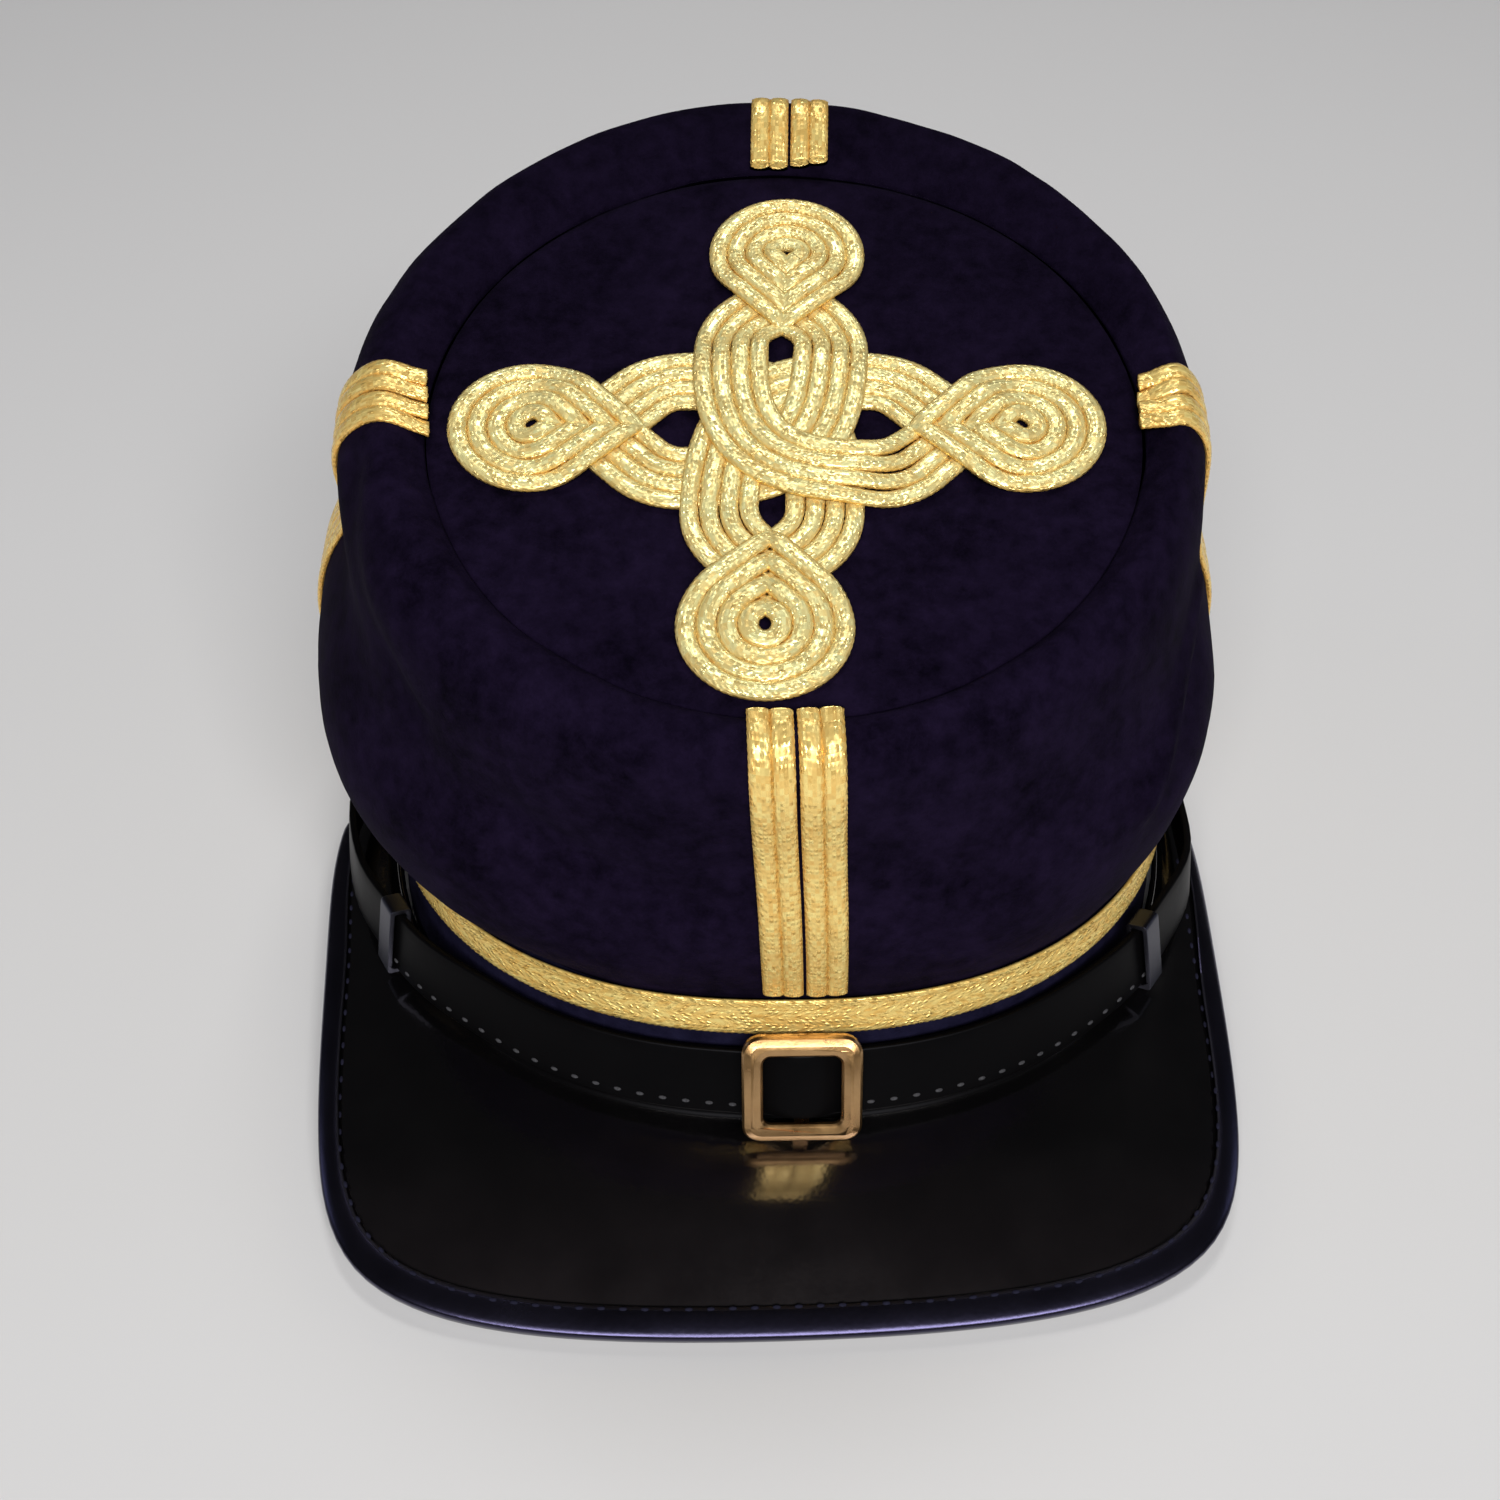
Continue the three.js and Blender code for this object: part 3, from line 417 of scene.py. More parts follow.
# %% Model the crown and the band
crown = copy_of("crown_side", "crown_felt")
hold_corners(crown, radians(60))
smooth(crown, 2)
swell = bpy.data.textures.new("felt_swell", "CLOUDS")
swell.noise_scale = 0.028
swell.noise_depth = 2
shape_with(crown, "DISPLACE", texture=swell, texture_coords="LOCAL", strength=1.3 * MM, mid_level=0.5)
CROWN_AXIS = np.array([0.003, 0.020, 0.0])
FOLDS = [  # places in millimetres, pressed in where the depth is below zero and raised where it is above
    {"name": "front crease", "from": (-47, -63, 88), "to": (-13, -73, 73), "depth": -1.5, "half": 4.5},
    {"name": "left crease", "from": (-80, -10, 126), "to": (-66, -48, 98), "depth": -2.4, "half": 5.0},
    {"name": "right ridge", "from": (72, -52, 80), "to": (83, -18, 106), "depth": 2.0, "half": 3.0},
    {"name": "right hollow", "from": (79, -48, 76), "to": (88, -15, 101), "depth": -2.2, "half": 6.0},
]


def points_of(piece):
    return np.array([v.co for v in piece.data.vertices])


def unit(rows):
    """The same directions with a length of one."""
    return rows / np.linalg.norm(rows, axis=1)[:, None]


def press(piece, fold):
    """Moves the cloth near a line in or out, as a thumb does; both faces of the wall move together."""
    start, end = [np.array(fold[key]) * MM for key in ("from", "to")]
    points = points_of(piece)
    share = np.clip((points - start) @ (end - start) / ((end - start) @ (end - start)), 0, 1)
    gap = np.linalg.norm(points - start - share[:, None] * (end - start), axis=1)
    outward = unit((points - CROWN_AXIS) * (1, 1, 0))
    push = fold["depth"] * MM * np.exp(-((gap / (fold["half"] * MM)) ** 2))
    piece.data.vertices.foreach_set("co", (points + outward * push[:, None]).ravel())


for fold in FOLDS:
    press(crown, fold)
dress(crown, crown_cloth, "navy_felt", "crown_side")

band = copy_of("cap_band", "band_felt")
shape_with(band, "BEVEL", width=0.5 * MM, segments=2, limit_method="ANGLE", angle_limit=radians(50))
smooth(band, 1)
dress(band, band_cloth, "navy_felt", "cap_band")

# %% [markdown]
# ## The flat top
# The top is a round of felt set into the crown's rolled edge. A filled circle is inset ring by ring, the
# rings are let down to make the slight sag and the dip into the seam, and a thickness is added below. It is
# made level and then tilted into place.

# %% Model the flat top
TIP_RADIUS, TIP_SAG, FELT = 68.2 * MM, 2.0 * MM, 2.2 * MM
SEAM_WIDE, SEAM_DIP = 5.6 * MM, 0.35 * MM
TIP_PLACE = Vector((0.0025, 0.00185, 0.13065))
FRONT_Y, FRONT_Z, BACK_Y, BACK_Z = -67.3, 114.3, 66, 147  # the seam's lowest and highest place, in mm
TIP_TILT = np.arctan2(BACK_Z - FRONT_Z, BACK_Y - FRONT_Y)
TIP = Matrix.Translation(TIP_PLACE) @ Matrix.Rotation(TIP_TILT, 4, "X")


def tip_height(radius):
    """How high the felt lies over the seam's plane: it sags in the middle and dips into the seam."""
    into_seam = np.clip((radius - TIP_RADIUS + SEAM_WIDE) / SEAM_WIDE, 0, 1)
    return -TIP_SAG * (1 - (radius / TIP_RADIUS) ** 2) - SEAM_DIP * into_seam**2


bpy.ops.object.select_all(action="DESELECT")
bpy.ops.mesh.primitive_circle_add(vertices=96, radius=TIP_RADIUS, fill_type="NGON")
top = bpy.context.object
top.name = "top_felt"
bpy.ops.object.mode_set(mode="EDIT")
bpy.ops.mesh.select_all(action="SELECT")
for width in [SEAM_WIDE / 4] * 4 + [6.6 * MM] * 9:
    bpy.ops.mesh.inset(thickness=width, depth=0)
bpy.ops.mesh.poke()
bpy.ops.object.mode_set(mode="OBJECT")
for vertex in top.data.vertices:
    vertex.co.z = tip_height(vertex.co.xy.length)
shape_with(top, "SOLIDIFY", thickness=FELT, offset=-1)
shape_with(top, "DISPLACE", texture=swell, texture_coords="LOCAL", strength=0.7 * MM, mid_level=0.5,
           direction="Z")
top.data.transform(TIP)
dress(top, crown_cloth, "navy_felt", "crown_tip")

# %% [markdown]
# ## How a cord is made
# The gold trim is made of round cords laid side by side, four to a braid. Operators can't wind thousands of
# passes of thread on a curve, so a cord is swept in code: an oval section is set up about every quarter of
# a millimetre, and it swells a little with each pass of thread, slanting one way on one cord and the other
# way on the next. All the cords of a braid become one mesh, and each point keeps its numbers for the gold's
# glitter.

# %% The cord and its mesh
STEP, ROUND = 0.27 * MM, 10  # from section to section, and points round a section
TURNS = -pi / 2 + 2 * pi * np.arange(ROUND) / ROUND


def evenly(line, step, ring):
    """The same line in equal steps; any columns after the first three go along."""
    if ring:
        line = np.vstack([line, line[:1]])
    far = np.concatenate([[0], np.cumsum(np.linalg.norm(np.diff(line[:, :3], axis=0), axis=1))])
    along = np.linspace(0, far[-1], int(far[-1] / step), endpoint=not ring)
    return np.stack([np.interp(along, far, line[:, k]) for k in range(line.shape[1])], 1), along


def cord(path, along, side, up, wide, high, row, ring):
    """The sections of one cord, with how far along each is and the row of each point."""
    slant = 1 if row % 2 else -1
    swell = 1 + 0.02 * np.cos(2 * pi * along[:, None] / (PASS * MM) + slant * 2 * TURNS[None])
    level = np.sign(np.sin(TURNS)) * np.abs(np.sin(TURNS)) ** 0.8
    sideways = np.broadcast_to(wide, along.shape)[:, None] * np.cos(TURNS)[None] * swell
    points = path[:, None] + side[:, None] * sideways[..., None]
    points = points + up[:, None] * (high * level[None] * swell)[..., None]
    return points, along, row + np.arange(ROUND) / ROUND, ring


def braid_mesh(name, cords):
    """One mesh of many cords; a ring joins up and an open cord has its two ends filled."""
    faces, base = [], 0
    for points, along, across, ring in cords:
        steps, count, _ = points.shape
        here = np.arange(steps if ring else steps - 1)[:, None]
        point = np.arange(count)[None]
        ahead, beside = (here + 1) % steps, np.roll(point, -1, 1)
        corners = [(here, point), (here, beside), (ahead, beside), (ahead, point)]
        quads = np.stack([section * count + at for section, at in corners], -1)
        faces += (base + quads.reshape(-1, 4)).tolist()
        if not ring:
            last = base + (steps - 1) * count
            faces += [[base + k for k in range(count)][::-1], [last + k for k in range(count)]]
        base += steps * count
    mesh = bpy.data.meshes.new(name)
    mesh.from_pydata(np.concatenate([c[0].reshape(-1, 3) for c in cords]), [], faces)
    along = np.concatenate([np.repeat(c[1] / MM, c[0].shape[1]) for c in cords])
    across = np.concatenate([np.tile(c[2], c[0].shape[0]) for c in cords])
    for key, value in (("along", along), ("across", across)):
        mesh.attributes.new(key, "FLOAT", "POINT").data.foreach_set("value", value.astype(np.float32))
    piece = bpy.data.objects.new(name, mesh)
    bpy.context.scene.collection.objects.link(piece)
    only(piece)
    bpy.ops.object.mode_set(mode="EDIT")
    bpy.ops.mesh.select_all(action="SELECT")
    bpy.ops.mesh.normals_make_consistent(inside=False)
    bpy.ops.object.mode_set(mode="OBJECT")
    return piece


print("a cord has", len(TURNS), "points round it and a section every", STEP / MM, "mm")

# %% [markdown]
# ## The knot's line
# The knot on the top is one endless braid. It makes a loop at the back, the left, the front and the right
# in turn, crosses itself at the neck of each loop, and swings through the middle from one loop to the next,
# a quarter turn each time. The line is drawn as with a compass: arcs for the loops and for the bends after
# the necks, and one soft curve through the middle, which runs on straight at first and then turns. Each
# point also keeps its level in the pile where four swings cross, and the neck and side of the loop it
# belongs to.

# %% Draw the knot's line
LOOP_AT, LOOP_RADIUS, BEND, SWING = 46.8 * MM, 8.5 * MM, 12 * MM, 22 * MM
NECK = LOOP_AT - LOOP_RADIUS * 2**0.5
KNOT_CENTRE = np.array([-1.4, -2.2]) * MM
LOOPS = [  # direction, distance of the strands from the axis, levels where the swing leaves and arrives
    (radians(87), 9.8 * MM, 2.0 * MM, 0.2 * MM), (radians(180), 12.2 * MM, 0.5 * MM, 0.5 * MM),
    (radians(267), 9.8 * MM, 1.5 * MM, 0.5 * MM), (radians(0), 12.2 * MM, 2.3 * MM, 2.3 * MM)]


def arc(centre, radius, start, end):
    angle = np.radians(np.linspace(start, end, 60))
    return np.array(centre) + radius * np.stack([np.cos(angle), np.sin(angle)], 1)


def turned(points, angle):
    return np.array(points) @ np.array([[np.cos(angle), np.sin(angle)], [-np.sin(angle), np.cos(angle)]])


def neck_bend(bar_at):
    """From the neck of a loop that points along +X to its bar, which runs to the middle at y = -bar_at."""
    return arc((NECK - bar_at - BEND * (2**0.5 - 1), BEND - bar_at), BEND, -45, -90)


def soft_curve(a, b, c, d):
    t = np.linspace(0, 1, 120)[:, None]
    return a * (1 - t) ** 3 + 3 * b * t * (1 - t) ** 2 + 3 * c * t * t * (1 - t) + d * t**3


def knot_line():
    """Columns: place, nothing, level, the direction of the loop's own side, the loop's neck."""
    parts = []
    for k, (turn, bar_at, high, low) in enumerate(LOOPS):
        ahead, next_bar = LOOPS[(k + 1) % 4][:2]
        loop = turned(arc((LOOP_AT, 0), LOOP_RADIUS, -135, 135), turn)
        leave = turned(neck_bend(bar_at), turn)
        arrive = turned(neck_bend(next_bar)[::-1] * (1, -1), ahead)
        reach, back = turned((-SWING, 0), turn), turned((-SWING, 0), ahead)
        swing = soft_curve(leave[-1], leave[-1] + reach, arrive[0] + back, arrive[0])
        fall = np.linspace(high, low, 120)
        for points, angle, own, level in (
                (loop[:30], turn, -1, 0), (loop[30:], turn, 1, 0),
                (leave, turn, 1, high), (swing[:60], turn, 1, fall[:60]),
                (swing[60:], ahead, -1, fall[60:]), (arrive, ahead, -1, low)):
            level = np.broadcast_to(level, len(points))
            marks = np.tile([*turned((0, own), angle), *turned((NECK, 0), angle)], (len(points), 1))
            parts.append(np.column_stack([points, 0 * level, level, marks]))
    return evenly(np.vstack(parts), STEP, True)


line, along = knot_line()
print("the knot's braid is", round(along[-1] / MM), "mm long in", len(along), "steps")

# %% [markdown]
# ## The knot
# Four cords run side by side along the line. In the middle the four swings lie on each other, each at its
# own level, and the upper ones hide the lower. At a neck the two strands of a loop meet on the loop's axis:
# each lies on top on the side where it joins the loop, and dips under the other once it is across. Between
# neck and middle the cords are pulled a little thinner, so that the felt shows between them.


# %% Model the knot
LANES = np.array([-5.55, -1.85, 1.85, 5.55]) * MM
CORD_WIDE, CORD_HIGH, CORD_LIFT, THINNER = 1.92 * MM, 0.9 * MM, 1.5 * MM, 0.10 * MM


def ease(low, high, value):
    """From 0 at low to 1 at high, with soft ends."""
    share = np.clip((value - low) / (high - low), 0, 1)
    return share * share * (3 - 2 * share)


def sideways_of(line):
    """The direction to the left of a closed flat line, at each of its points."""
    heading = unit(np.roll(line, -1, 0) - np.roll(line, 1, 0))
    return np.stack([-heading[:, 1], heading[:, 0]], 1)


def knot_cord(row):
    flat = line[:, :2] + sideways_of(line[:, :2]) * LANES[row]
    middle = np.linalg.norm(flat, axis=1)
    pile = line[:, 3] * (1 - ease(19 * MM, 29 * MM, middle))
    own_side = (flat * line[:, 4:6]).sum(1)
    near = 1 - ease(9 * MM, 17 * MM, np.linalg.norm(flat - line[:, 6:8], axis=1))
    lift = np.maximum(pile, CORD_LIFT * ease(-2.2 * MM, 2.2 * MM, own_side) * near)
    bar = ease(17 * MM, 22 * MM, middle) * (1 - ease(25 * MM, 31 * MM, middle))
    marks, along = evenly(np.column_stack([flat, lift, CORD_WIDE - THINNER * bar]), STEP, True)
    flat = marks[:, :2] + KNOT_CENTRE
    height = tip_height(np.linalg.norm(flat, axis=1)) + 0.9 * CORD_HIGH + marks[:, 2]
    side = np.column_stack([sideways_of(flat), np.zeros(len(flat))])
    up = np.tile([0.0, 0.0, 1.0], (len(flat), 1))
    return cord(np.column_stack([flat, height]), along, side, up, marks[:, 3], CORD_HIGH, row, True)


knot = braid_mesh("knot_cords", [knot_cord(row) for row in range(4)])
knot.data.transform(TIP)
dress(knot, pale_gold, "gold_braid", "crown_knot")

# %% [markdown]
# ## The upright stripes
# Four stripes climb the crown and turn in at the seam of the top. Each is two pairs of cords with a gap in
# the middle. A cord has to lie on the felt with all its folds, so its place is felt for: from points
# outside, rays are cast at the crown in the cord's own upright plane, and where they land is where the cord
# is sewn down. The stripe's middle line is read off its solid. A stripe ends just clear of the band's braid
# below. At the top it is made a little too long, and then all four cords are pushed back to one straight
# cut.

# %% Find where the cords of the stripes lie
def tree_of(*pieces):
    """A search tree over the faces of some pieces, for casting rays at them."""
    points, faces = [], []
    for piece in pieces:
        faces += [[len(points) + k for k in p.vertices] for p in piece.data.polygons]
        points += [v.co.copy() for v in piece.data.vertices]
    return BVHTree.FromPolygons(points, faces)


felt_tree = tree_of(crown)
TURN_IN, OVERLONG = 2.6 * MM, 1.0 * MM  # how much runs on straight over the seam, and how much is too long
SLOTS = 13  # heights at which a stripe's middle is measured
KEYS = ("node", "width", "facing", "inside", "end", "slant")
STRIPES = [dict(zip(KEYS, values)) for values in (
    ("front_braid", 17.0, (0, -1), (0.004, -0.038, 0.084), 0.0652, 0.0),
    ("back_braid", 16.8, (0, 1), (0.004, 0.045, 0.100), 0.0689, 0.0),
    ("left_braid", 15.6, (-1, 0), (-0.040, 0.010, 0.100), 0.0662, -0.12),
    ("right_braid", 15.6, (1, 0), (0.045, 0.010, 0.100), 0.0708, 0.12))]


def blur(grid, rounds):
    """Evens out a grid along its length."""
    for _ in range(rounds):
        grid[1:-1] = (grid[:-2] + 2 * grid[1:-1] + grid[2:]) / 4
    return grid


def ways_of(stripe):
    """The direction a stripe faces and the direction across it."""
    x, y = stripe["facing"]
    return np.array([x, y, 0.0]), np.array([-y, x, 0.0])


def stripe_bed(stripe, offset):
    """Points and outward directions of the felt below one cord of a stripe, from its foot to past its end."""
    face, side = ways_of(stripe)
    inside = np.array(stripe["inside"])
    rel = points_of(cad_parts[stripe["node"]]) - inside
    angle = np.arctan2(rel[:, 2], rel @ face)
    low, high = angle.min(), angle.max()
    slots = np.digitize(angle, np.linspace(low, high, SLOTS + 1)[1:-1])
    filled = [slots == k for k in range(SLOTS) if (slots == k).any()]
    middles = [(angle[slot].mean(), (rel[slot] @ side).mean()) for slot in filled]
    fit = np.polyfit(*np.array(middles).T, 1)
    end = stripe["end"] + stripe["slant"] * offset - OVERLONG
    bed, out = [], []
    for turn in np.linspace(low, high + radians(35), 200):
        way = face * np.cos(turn) + np.array([0, 0, np.sin(turn)])
        start = inside + side * (np.polyval(fit, min(turn, high)) + offset) + way * 0.3
        hit, normal, _, _ = felt_tree.ray_cast(Vector(start), Vector(-way))
        if hit is None:
            continue
        if turn > (low + 2 * high) / 3 and face @ np.array(hit) < end + TURN_IN:
            break
        bed.append(np.array(hit))
        out.append(np.array(normal))
    bed, out = blur(np.array(bed), 6), blur(np.array(out), 14)
    ahead = bed[-1] - bed[-6]
    last = bed[-1] + ahead * (face @ bed[-1] - end) / -(face @ ahead)
    return np.vstack([bed, last]), np.vstack([out, out[-1:]])


bed, out = stripe_bed(STRIPES[0], 0)
print("front stripe climbs from", np.round(bed[0] / MM, 1), "to", np.round(bed[-1] / MM, 1))


# %% Model the stripes
FULL = 17  # width of the widest stripe, in millimetres
PAIRS = np.array([-6.25, -2.33, 2.33, 6.25]) * MM / FULL
STRIPE_WIDE, STRIPE_HIGH, FOOT_GAP = 2.12 * MM, 0.75 * MM, 1.5 * MM


def stripe_cord(stripe, row):
    bed, out = stripe_bed(stripe, PAIRS[row] * stripe["width"])
    marks, along = evenly(np.column_stack([bed, out]), STEP, False)
    marks, along = marks[along > FOOT_GAP], along[along > FOOT_GAP]
    path, out = marks[:, :3], marks[:, 3:]
    heading = np.gradient(path, axis=0)
    side = unit(np.cross(heading, out))
    out = unit(np.cross(side, heading))
    wide = STRIPE_WIDE * stripe["width"] / FULL
    return cord(path + out * 0.7 * STRIPE_HIGH, along, side, out, wide, STRIPE_HIGH, row, False)


def cut_square(piece, stripe):
    """Pushes what is too long back to one flat end."""
    face, side = ways_of(stripe)
    points = points_of(piece)
    short = stripe["end"] + stripe["slant"] * ((points - stripe["inside"]) @ side) - points @ face
    piece.data.vertices.foreach_set("co", (points + np.maximum(short, 0)[:, None] * face).ravel())


for stripe in STRIPES:
    cords = [stripe_cord(stripe, row) for row in range(4)]
    piece = braid_mesh(stripe["node"].replace("_braid", "_stripe"), cords)
    cut_square(piece, stripe)
    dress(piece, deep_gold, "gold_braid", stripe["node"])

# %% [markdown]
# ## The band's braid
# A single flat braid hides the seam of band and crown. It is woven, not corded: its threads run in two
# crossing slants, so it shows small chevrons. The seam is a rounded oval that leans forward, worked out
# from the same few sizes as the band itself.

# %% Model the band's braid
SIZES = ("front", "back", "half", "front_z", "back_z", "square", "shift")
SEAM = dict(zip(SIZES, (-72, 115, 89.5, 40.85, 26.85, 2.3, -0.5)))  # all in millimetres
FOOT = dict(zip(SIZES, (-79, 119.5, 91.5, 11, -0.4, 2.3, -0.5)))
SWELL = dict(zip(SIZES, (-75, 117, 93.4, 53, 44, 2.5, -2.6)))
MIDDLE = np.array([3.0, 2.5, 0.0])


def ring_points(ring, angle):
    """Points of a rounded oval that leans forward, at angles from the front, in metres."""
    def bend(value):
        return np.sign(value) * np.abs(value) ** (2 / ring["square"])
    share = (1 - bend(np.cos(angle))) / 2
    x = ring["shift"] + ring["half"] * bend(np.sin(angle))
    y = ring["front"] + (ring["back"] - ring["front"]) * share
    z = ring["front_z"] + (ring["back_z"] - ring["front_z"]) * share
    return (np.stack([x, y, z], 1) + MIDDLE) * MM


BELOW, ABOVE, FLAT_THICK, SEAT = 7.4 * MM, 2.2 * MM, 1.1 * MM, 0.45 * MM
ACROSS, WEAVE_STEP, CHEVRON, CHEVRON_HIGH = 13, 0.35 * MM, 1.4 * MM, 0.09 * MM
angle = np.linspace(pi, 3 * pi, 6000)
seam, far = evenly(ring_points(SEAM, angle)[:-1], WEAVE_STEP, True)
steps = np.linalg.norm(np.diff(ring_points(SEAM, angle), axis=0), axis=1)
at = np.interp(far, np.concatenate([[0], np.cumsum(steps)]), angle)
down = unit(ring_points(FOOT, at) - seam)
up = unit(ring_points(SWELL, at) - seam)
outside = unit(np.cross(np.roll(seam, -1, 0) - np.roll(seam, 1, 0), -down))

lane = np.linspace(-BELOW, ABOVE, ACROSS)
lean = lane[None, :, None]
bed = np.where(lean < 0, -down[:, None] * lean, up[:, None] * lean) + seam[:, None]
share = np.linspace(-1, 1, ACROSS)
edge = 1 - np.abs(share) ** 6
slant = 2.2 * np.abs((share * 1.5) % 1 - 0.5)
chevron = CHEVRON_HIGH * np.cos(2 * pi * (far[:, None] / CHEVRON + slant[None]))
height = SEAT + FLAT_THICK * (0.45 + 0.55 * edge)[None] + chevron
over = bed + outside[:, None] * height[..., None]
under = bed[:, ::-1][:, [0, ACROSS // 2, -1]] + outside[:, None] * (0.3 * MM)
points = np.concatenate([over, under], 1)
rows = np.concatenate([(share + 1) * 2, [4, 2, 0]])
seam_braid = braid_mesh("seam_braid", [(points, far, rows, True)])
dress(seam_braid, woven_gold, "gold_braid", "band_braid")

# %% [markdown]
# ## The peak and its binding
# The peak is one stiff plate of leather with a flange sewn to the band, and a leather strip is folded over
# its edge. Both solids are welded copies, and subdivision takes their facets out. The middle of the peak is
# arched up a little, so that it mirrors the buckle. The hollow bend of the flange, the two ends of the peak
# and the flat of the binding are never rubbed bright, so their faces get duller leather.

# %% Model the peak
peak = copy_of("peak", "peak_leather")
smooth(peak, 2)
ARCH = {"from": -0.080, "top": -0.099, "to": -0.119, "rise": 1.6 * MM, "half": 0.042}
DULL_BEND, DULL_ENDS, DULL_FLAT = 3.8 * MM, 14 * MM, 0.1  # two distances, and how little a face looks outward
points = points_of(peak)
rise = ease(ARCH["from"], ARCH["top"], points[:, 1]) * ease(ARCH["to"], ARCH["top"], points[:, 1])
points[:, 2] += ARCH["rise"] * rise * np.exp(-((points[:, 0] / ARCH["half"]) ** 2))
peak.data.vertices.foreach_set("co", points.ravel())
dress(peak, peak_black, "black_leather", "peak")
peak.data.materials.append(strap_black)
foot = ring_points(FOOT, np.linspace(0, 2 * pi, 2000))
ends = points[:, 1].max() - DULL_ENDS
for face in peak.data.polygons:
    to_foot = np.linalg.norm(foot - np.array(face.center), axis=1).min()
    if face.center.y > ends or to_foot < DULL_BEND:
        face.material_index = 1

binding = copy_of("peak_binding", "edge_leather")
smooth(binding, 2)
dress(binding, edge_black, "black_leather", "peak_binding")
binding.data.materials.append(binding_black)
PEAK_MIDDLE = np.array([0.003, -0.020, 0.0])
for face in binding.data.polygons:
    outward = (face.center - Vector(PEAK_MIDDLE)).to_2d().normalized()
    if face.normal.to_2d().dot(outward) < DULL_FLAT:
        face.material_index = 1

# %% [markdown]
# ## The chin strap
# The strap is a strip of leather with rounded edges. A bevel puts a second edge close to each corner, so
# that the subdivision which follows smooths the strap along its length and keeps its flat section.

# %% Model the strap, keepers and buttons
strap = copy_of("chin_strap", "strap_leather")
shape_with(strap, "BEVEL", width=0.45 * MM, segments=2, limit_method="ANGLE", angle_limit=radians(50))
smooth(strap, 1)
dress(strap, strap_black, "black_leather", "chin_strap")

for side in ("left", "right"):
    for node, name, finish, slot in (("_keeper", "_loop", loop_black, "black_leather"),
                                     ("_button", "_stud", brass, "brass")):
        piece = copy_of(side + node, side + name)
        shape_with(piece, "BEVEL", width=0.3 * MM, segments=2, limit_method="ANGLE", angle_limit=radians(40))
        smooth(piece, 1)
        dress(piece, finish, slot, side + node)

# %% [markdown]
# ## The buckle
# A cast frame with soft, pillowed sides rides on the strap. The front of the solid's copy is inset and
# raised, which gives each side a ridge, and a wide bevel rounds the ridges and the edges. Then the frame is
# bowed, as a buckle that follows a strap is: the upper side looks up a little and the lower side down.

# %% Model the buckle
buckle = copy_of("strap_buckle", "buckle_brass")
RIDGE_IN, RIDGE_HIGH, BOW, FRAME_DEEP = 1.3 * MM, 0.4 * MM, 1.5 * MM, 2.3 * MM
ABOUT = Vector((0, -0.89, 0.46))
towards = [f.normal * f.area for f in buckle.data.polygons if f.normal.dot(ABOUT) > 0.9]
front_way = sum(towards, Vector()).normalized()
furthest = max(front_way.dot(v.co) for v in buckle.data.vertices)
bpy.ops.object.mode_set(mode="EDIT")
bpy.ops.mesh.select_mode(type="FACE")
bpy.ops.mesh.select_all(action="DESELECT")
bpy.ops.object.mode_set(mode="OBJECT")
for face in buckle.data.polygons:
    face.select = face.normal.dot(front_way) > 0.97 and front_way.dot(face.center) > furthest - 0.3 * MM
print("buckle's front:", sum(face.select for face in buckle.data.polygons), "faces")
bpy.ops.object.mode_set(mode="EDIT")
bpy.ops.mesh.inset(thickness=RIDGE_IN, depth=RIDGE_HIGH)
bpy.ops.object.mode_set(mode="OBJECT")
shape_with(buckle, "BEVEL", width=0.7 * MM, segments=4, limit_method="ANGLE", angle_limit=radians(12))

upright = (Vector((0, 0, 1)) - front_way * front_way.z).normalized()
heights = [upright.dot(v.co) for v in buckle.data.vertices]
middle, half = (max(heights) + min(heights)) / 2, (max(heights) - min(heights)) / 2
for vertex, height in zip(buckle.data.vertices, heights):
    if front_way.dot(vertex.co) > furthest - FRAME_DEEP:
        vertex.co += front_way * BOW * (1 - ((height - middle) / half) ** 2)
dress(buckle, brass, "brass", "strap_buckle")

# %% [markdown]
# ## The stitches
# A row of pale stitches runs along the lower edge of the strap, and a row of dark ones holds the binding on
# the peak. One stitch is a small stretched ball. The places come from rays again: round the front, level
# rays find the strap a little above its lower edge, and rays from above find the binding a little inside
# the peak's outline.

# %% Model one stitch and its rows
bpy.ops.object.select_all(action="DESELECT")
bpy.ops.mesh.primitive_uv_sphere_add(segments=8, ring_count=6, radius=MM)
bpy.ops.transform.resize(value=(0.85, 0.42, 0.36))
bpy.ops.object.transform_apply(scale=True)
stitch = bpy.context.object
STITCH = np.array([v.co for v in stitch.data.vertices])
STITCH_FACES = [list(p.vertices) for p in stitch.data.polygons]
bpy.data.objects.remove(stitch)


def stitch_row(name, places, outs, gap, finish):
    """A stitch at every gap along a line of places, lying along it."""
    marks, _ = evenly(np.column_stack([places, outs]), gap, False)
    path, out = marks[:, :3], marks[:, 3:]
    heading = unit(np.gradient(path, axis=0))
    side = unit(np.cross(out, heading))
    axes = np.stack([heading, side, np.cross(heading, side)], 1)
    points = path[:, None] + np.einsum("vk,nkc->nvc", STITCH, axes)
    faces = [[k * len(STITCH) + v for v in f] for k in range(len(path)) for f in STITCH_FACES]
    mesh = bpy.data.meshes.new(name)
    mesh.from_pydata(points.reshape(-1, 3), [], faces)
    piece = bpy.data.objects.new(name, mesh)
    bpy.context.scene.collection.objects.link(piece)
    dress(piece, finish, "black_leather")


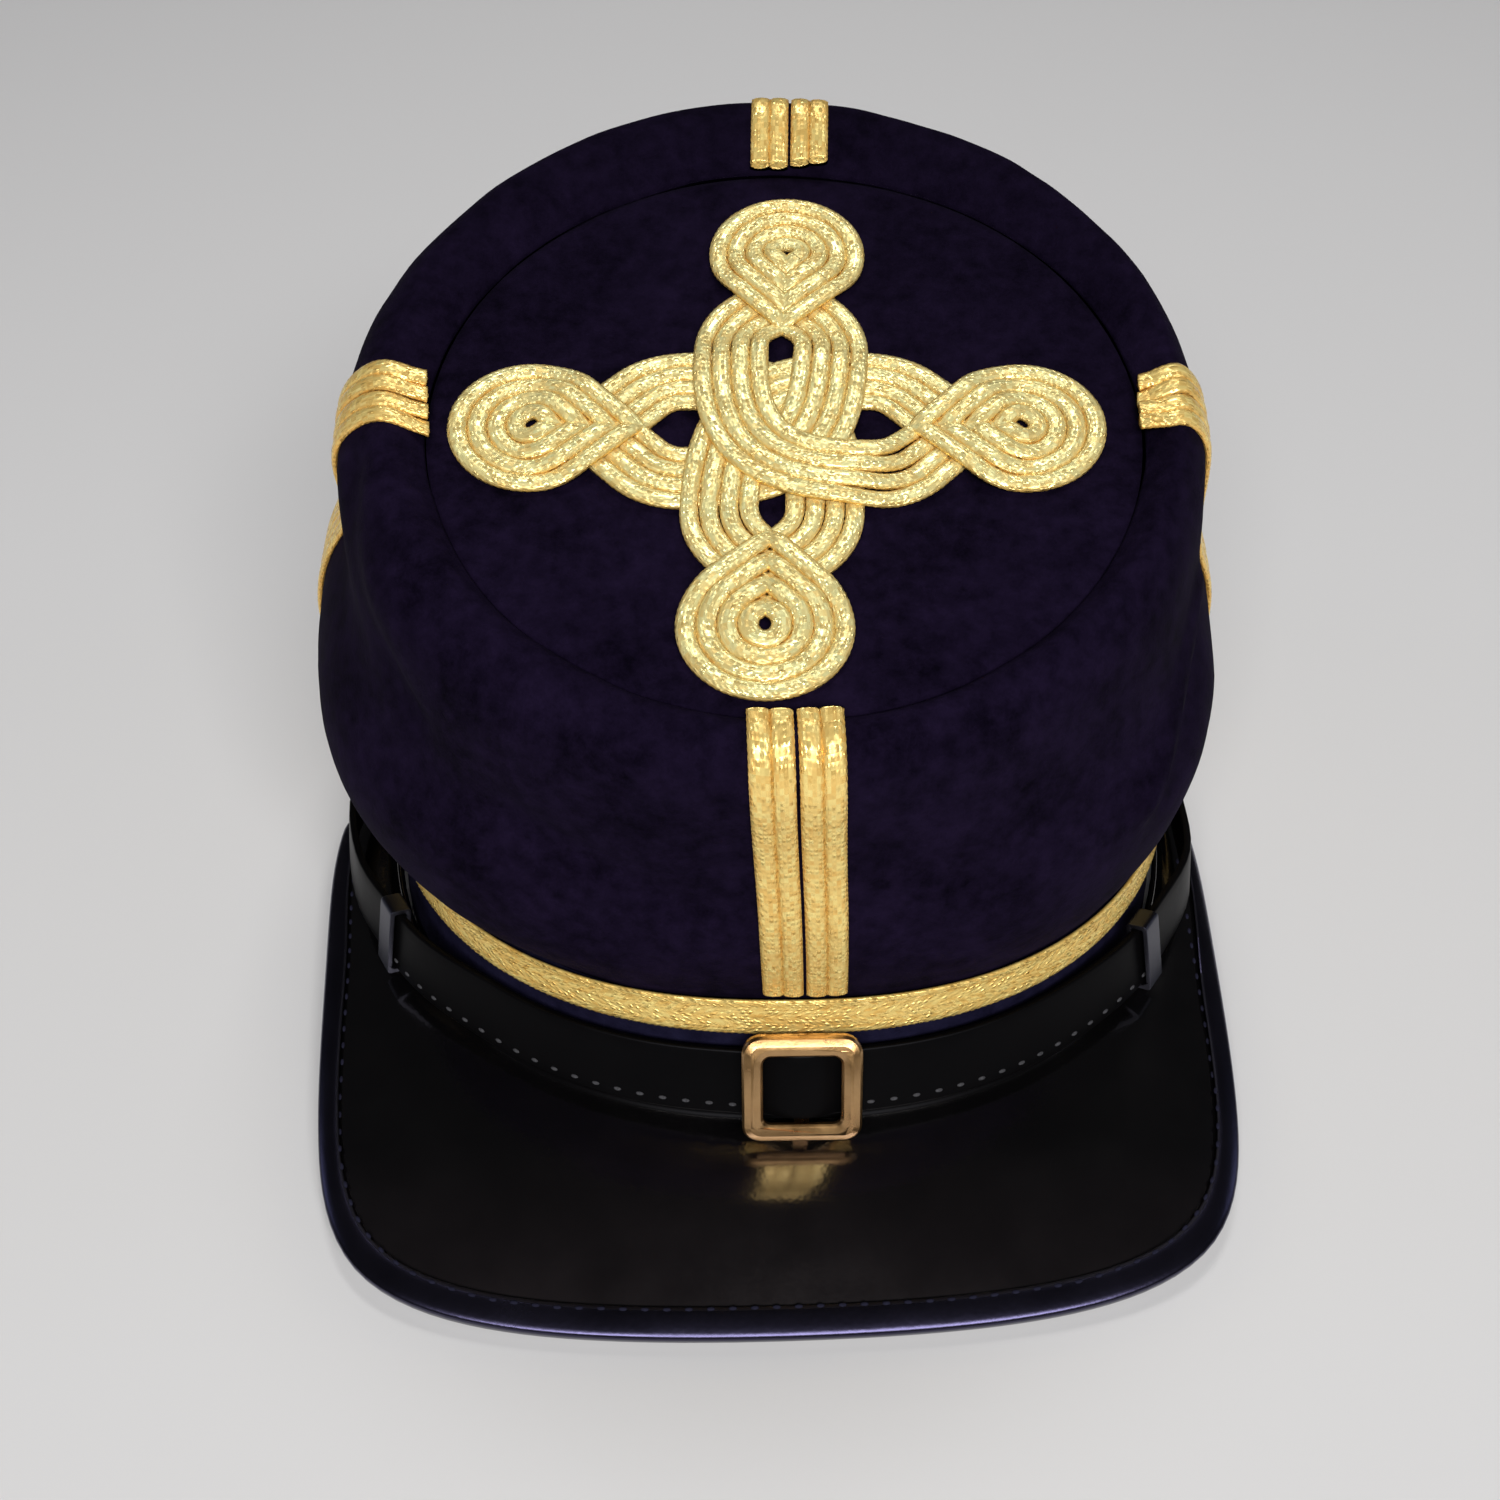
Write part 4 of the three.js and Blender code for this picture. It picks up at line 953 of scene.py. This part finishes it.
# %% Sew the strap
STRAP_MIDDLE, STRAP_REACH, OVER_EDGE, STRAP_STITCH = np.array([0.003, 0.020, 0.0]), 54, 2.6 * MM, 4.5 * MM


def round_the_front(piece, middle, reach):
    """Angles from the front, distances and heights of a piece's points; even angles and their ways."""
    points = points_of(piece) - middle
    angle = np.degrees(np.arctan2(points[:, 0], -points[:, 1]))
    even = np.arange(-reach, reach, 1.0)
    ways = np.stack([np.sin(np.radians(even)), -np.cos(np.radians(even)), 0 * even], 1)
    return angle, np.hypot(points[:, 0], points[:, 1]), points[:, 2], even, ways


def sewn_line(tree, starts, ways):
    """Where rays from some starts land, and the outward directions there."""
    hits = [tree.ray_cast(Vector(start), Vector(way)) for start, way in zip(starts, ways)]
    return [np.array([[*hit[k]] for hit in hits if hit[0]]) for k in (0, 1)]


angle, _, height, even, ways = round_the_front(strap, STRAP_MIDDLE, STRAP_REACH)
lowest = blur(np.array([height[np.abs(angle - now) < 4].min() for now in even]), 6)
starts = STRAP_MIDDLE + ways * 0.2 + np.stack([0 * even, 0 * even, lowest + OVER_EDGE], 1)
places, outs = sewn_line(tree_of(strap), starts, -ways)
buckle_half = buckle.dimensions.x / 2 + 1.5 * MM
from_buckle = places[:, 0] - np.mean([v.co.x for v in buckle.data.vertices])
for name, part in (("left", from_buckle < -buckle_half), ("right", from_buckle > buckle_half)):
    stitch_row("strap_stitches_" + name, places[part], outs[part], STRAP_STITCH, pale_thread)

# %% Sew the binding
PEAK_REACH, INSIDE_EDGE, BINDING_STITCH = 100, 5.5 * MM, 4.2 * MM
angle, far, _, even, ways = round_the_front(binding, PEAK_MIDDLE, PEAK_REACH)
outline = blur(np.array([far[np.abs(angle - now) < 1.5].max() for now in even]), 3)
starts = PEAK_MIDDLE + ways * (outline - INSIDE_EDGE)[:, None] + np.array([0, 0, 0.1])
places, outs = sewn_line(tree_of(peak, binding), starts, np.tile([0.0, 0.0, -1.0], (len(even), 1)))
stitch_row("binding_stitches", blur(places, 3), blur(outs, 3), BINDING_STITCH, black_thread)
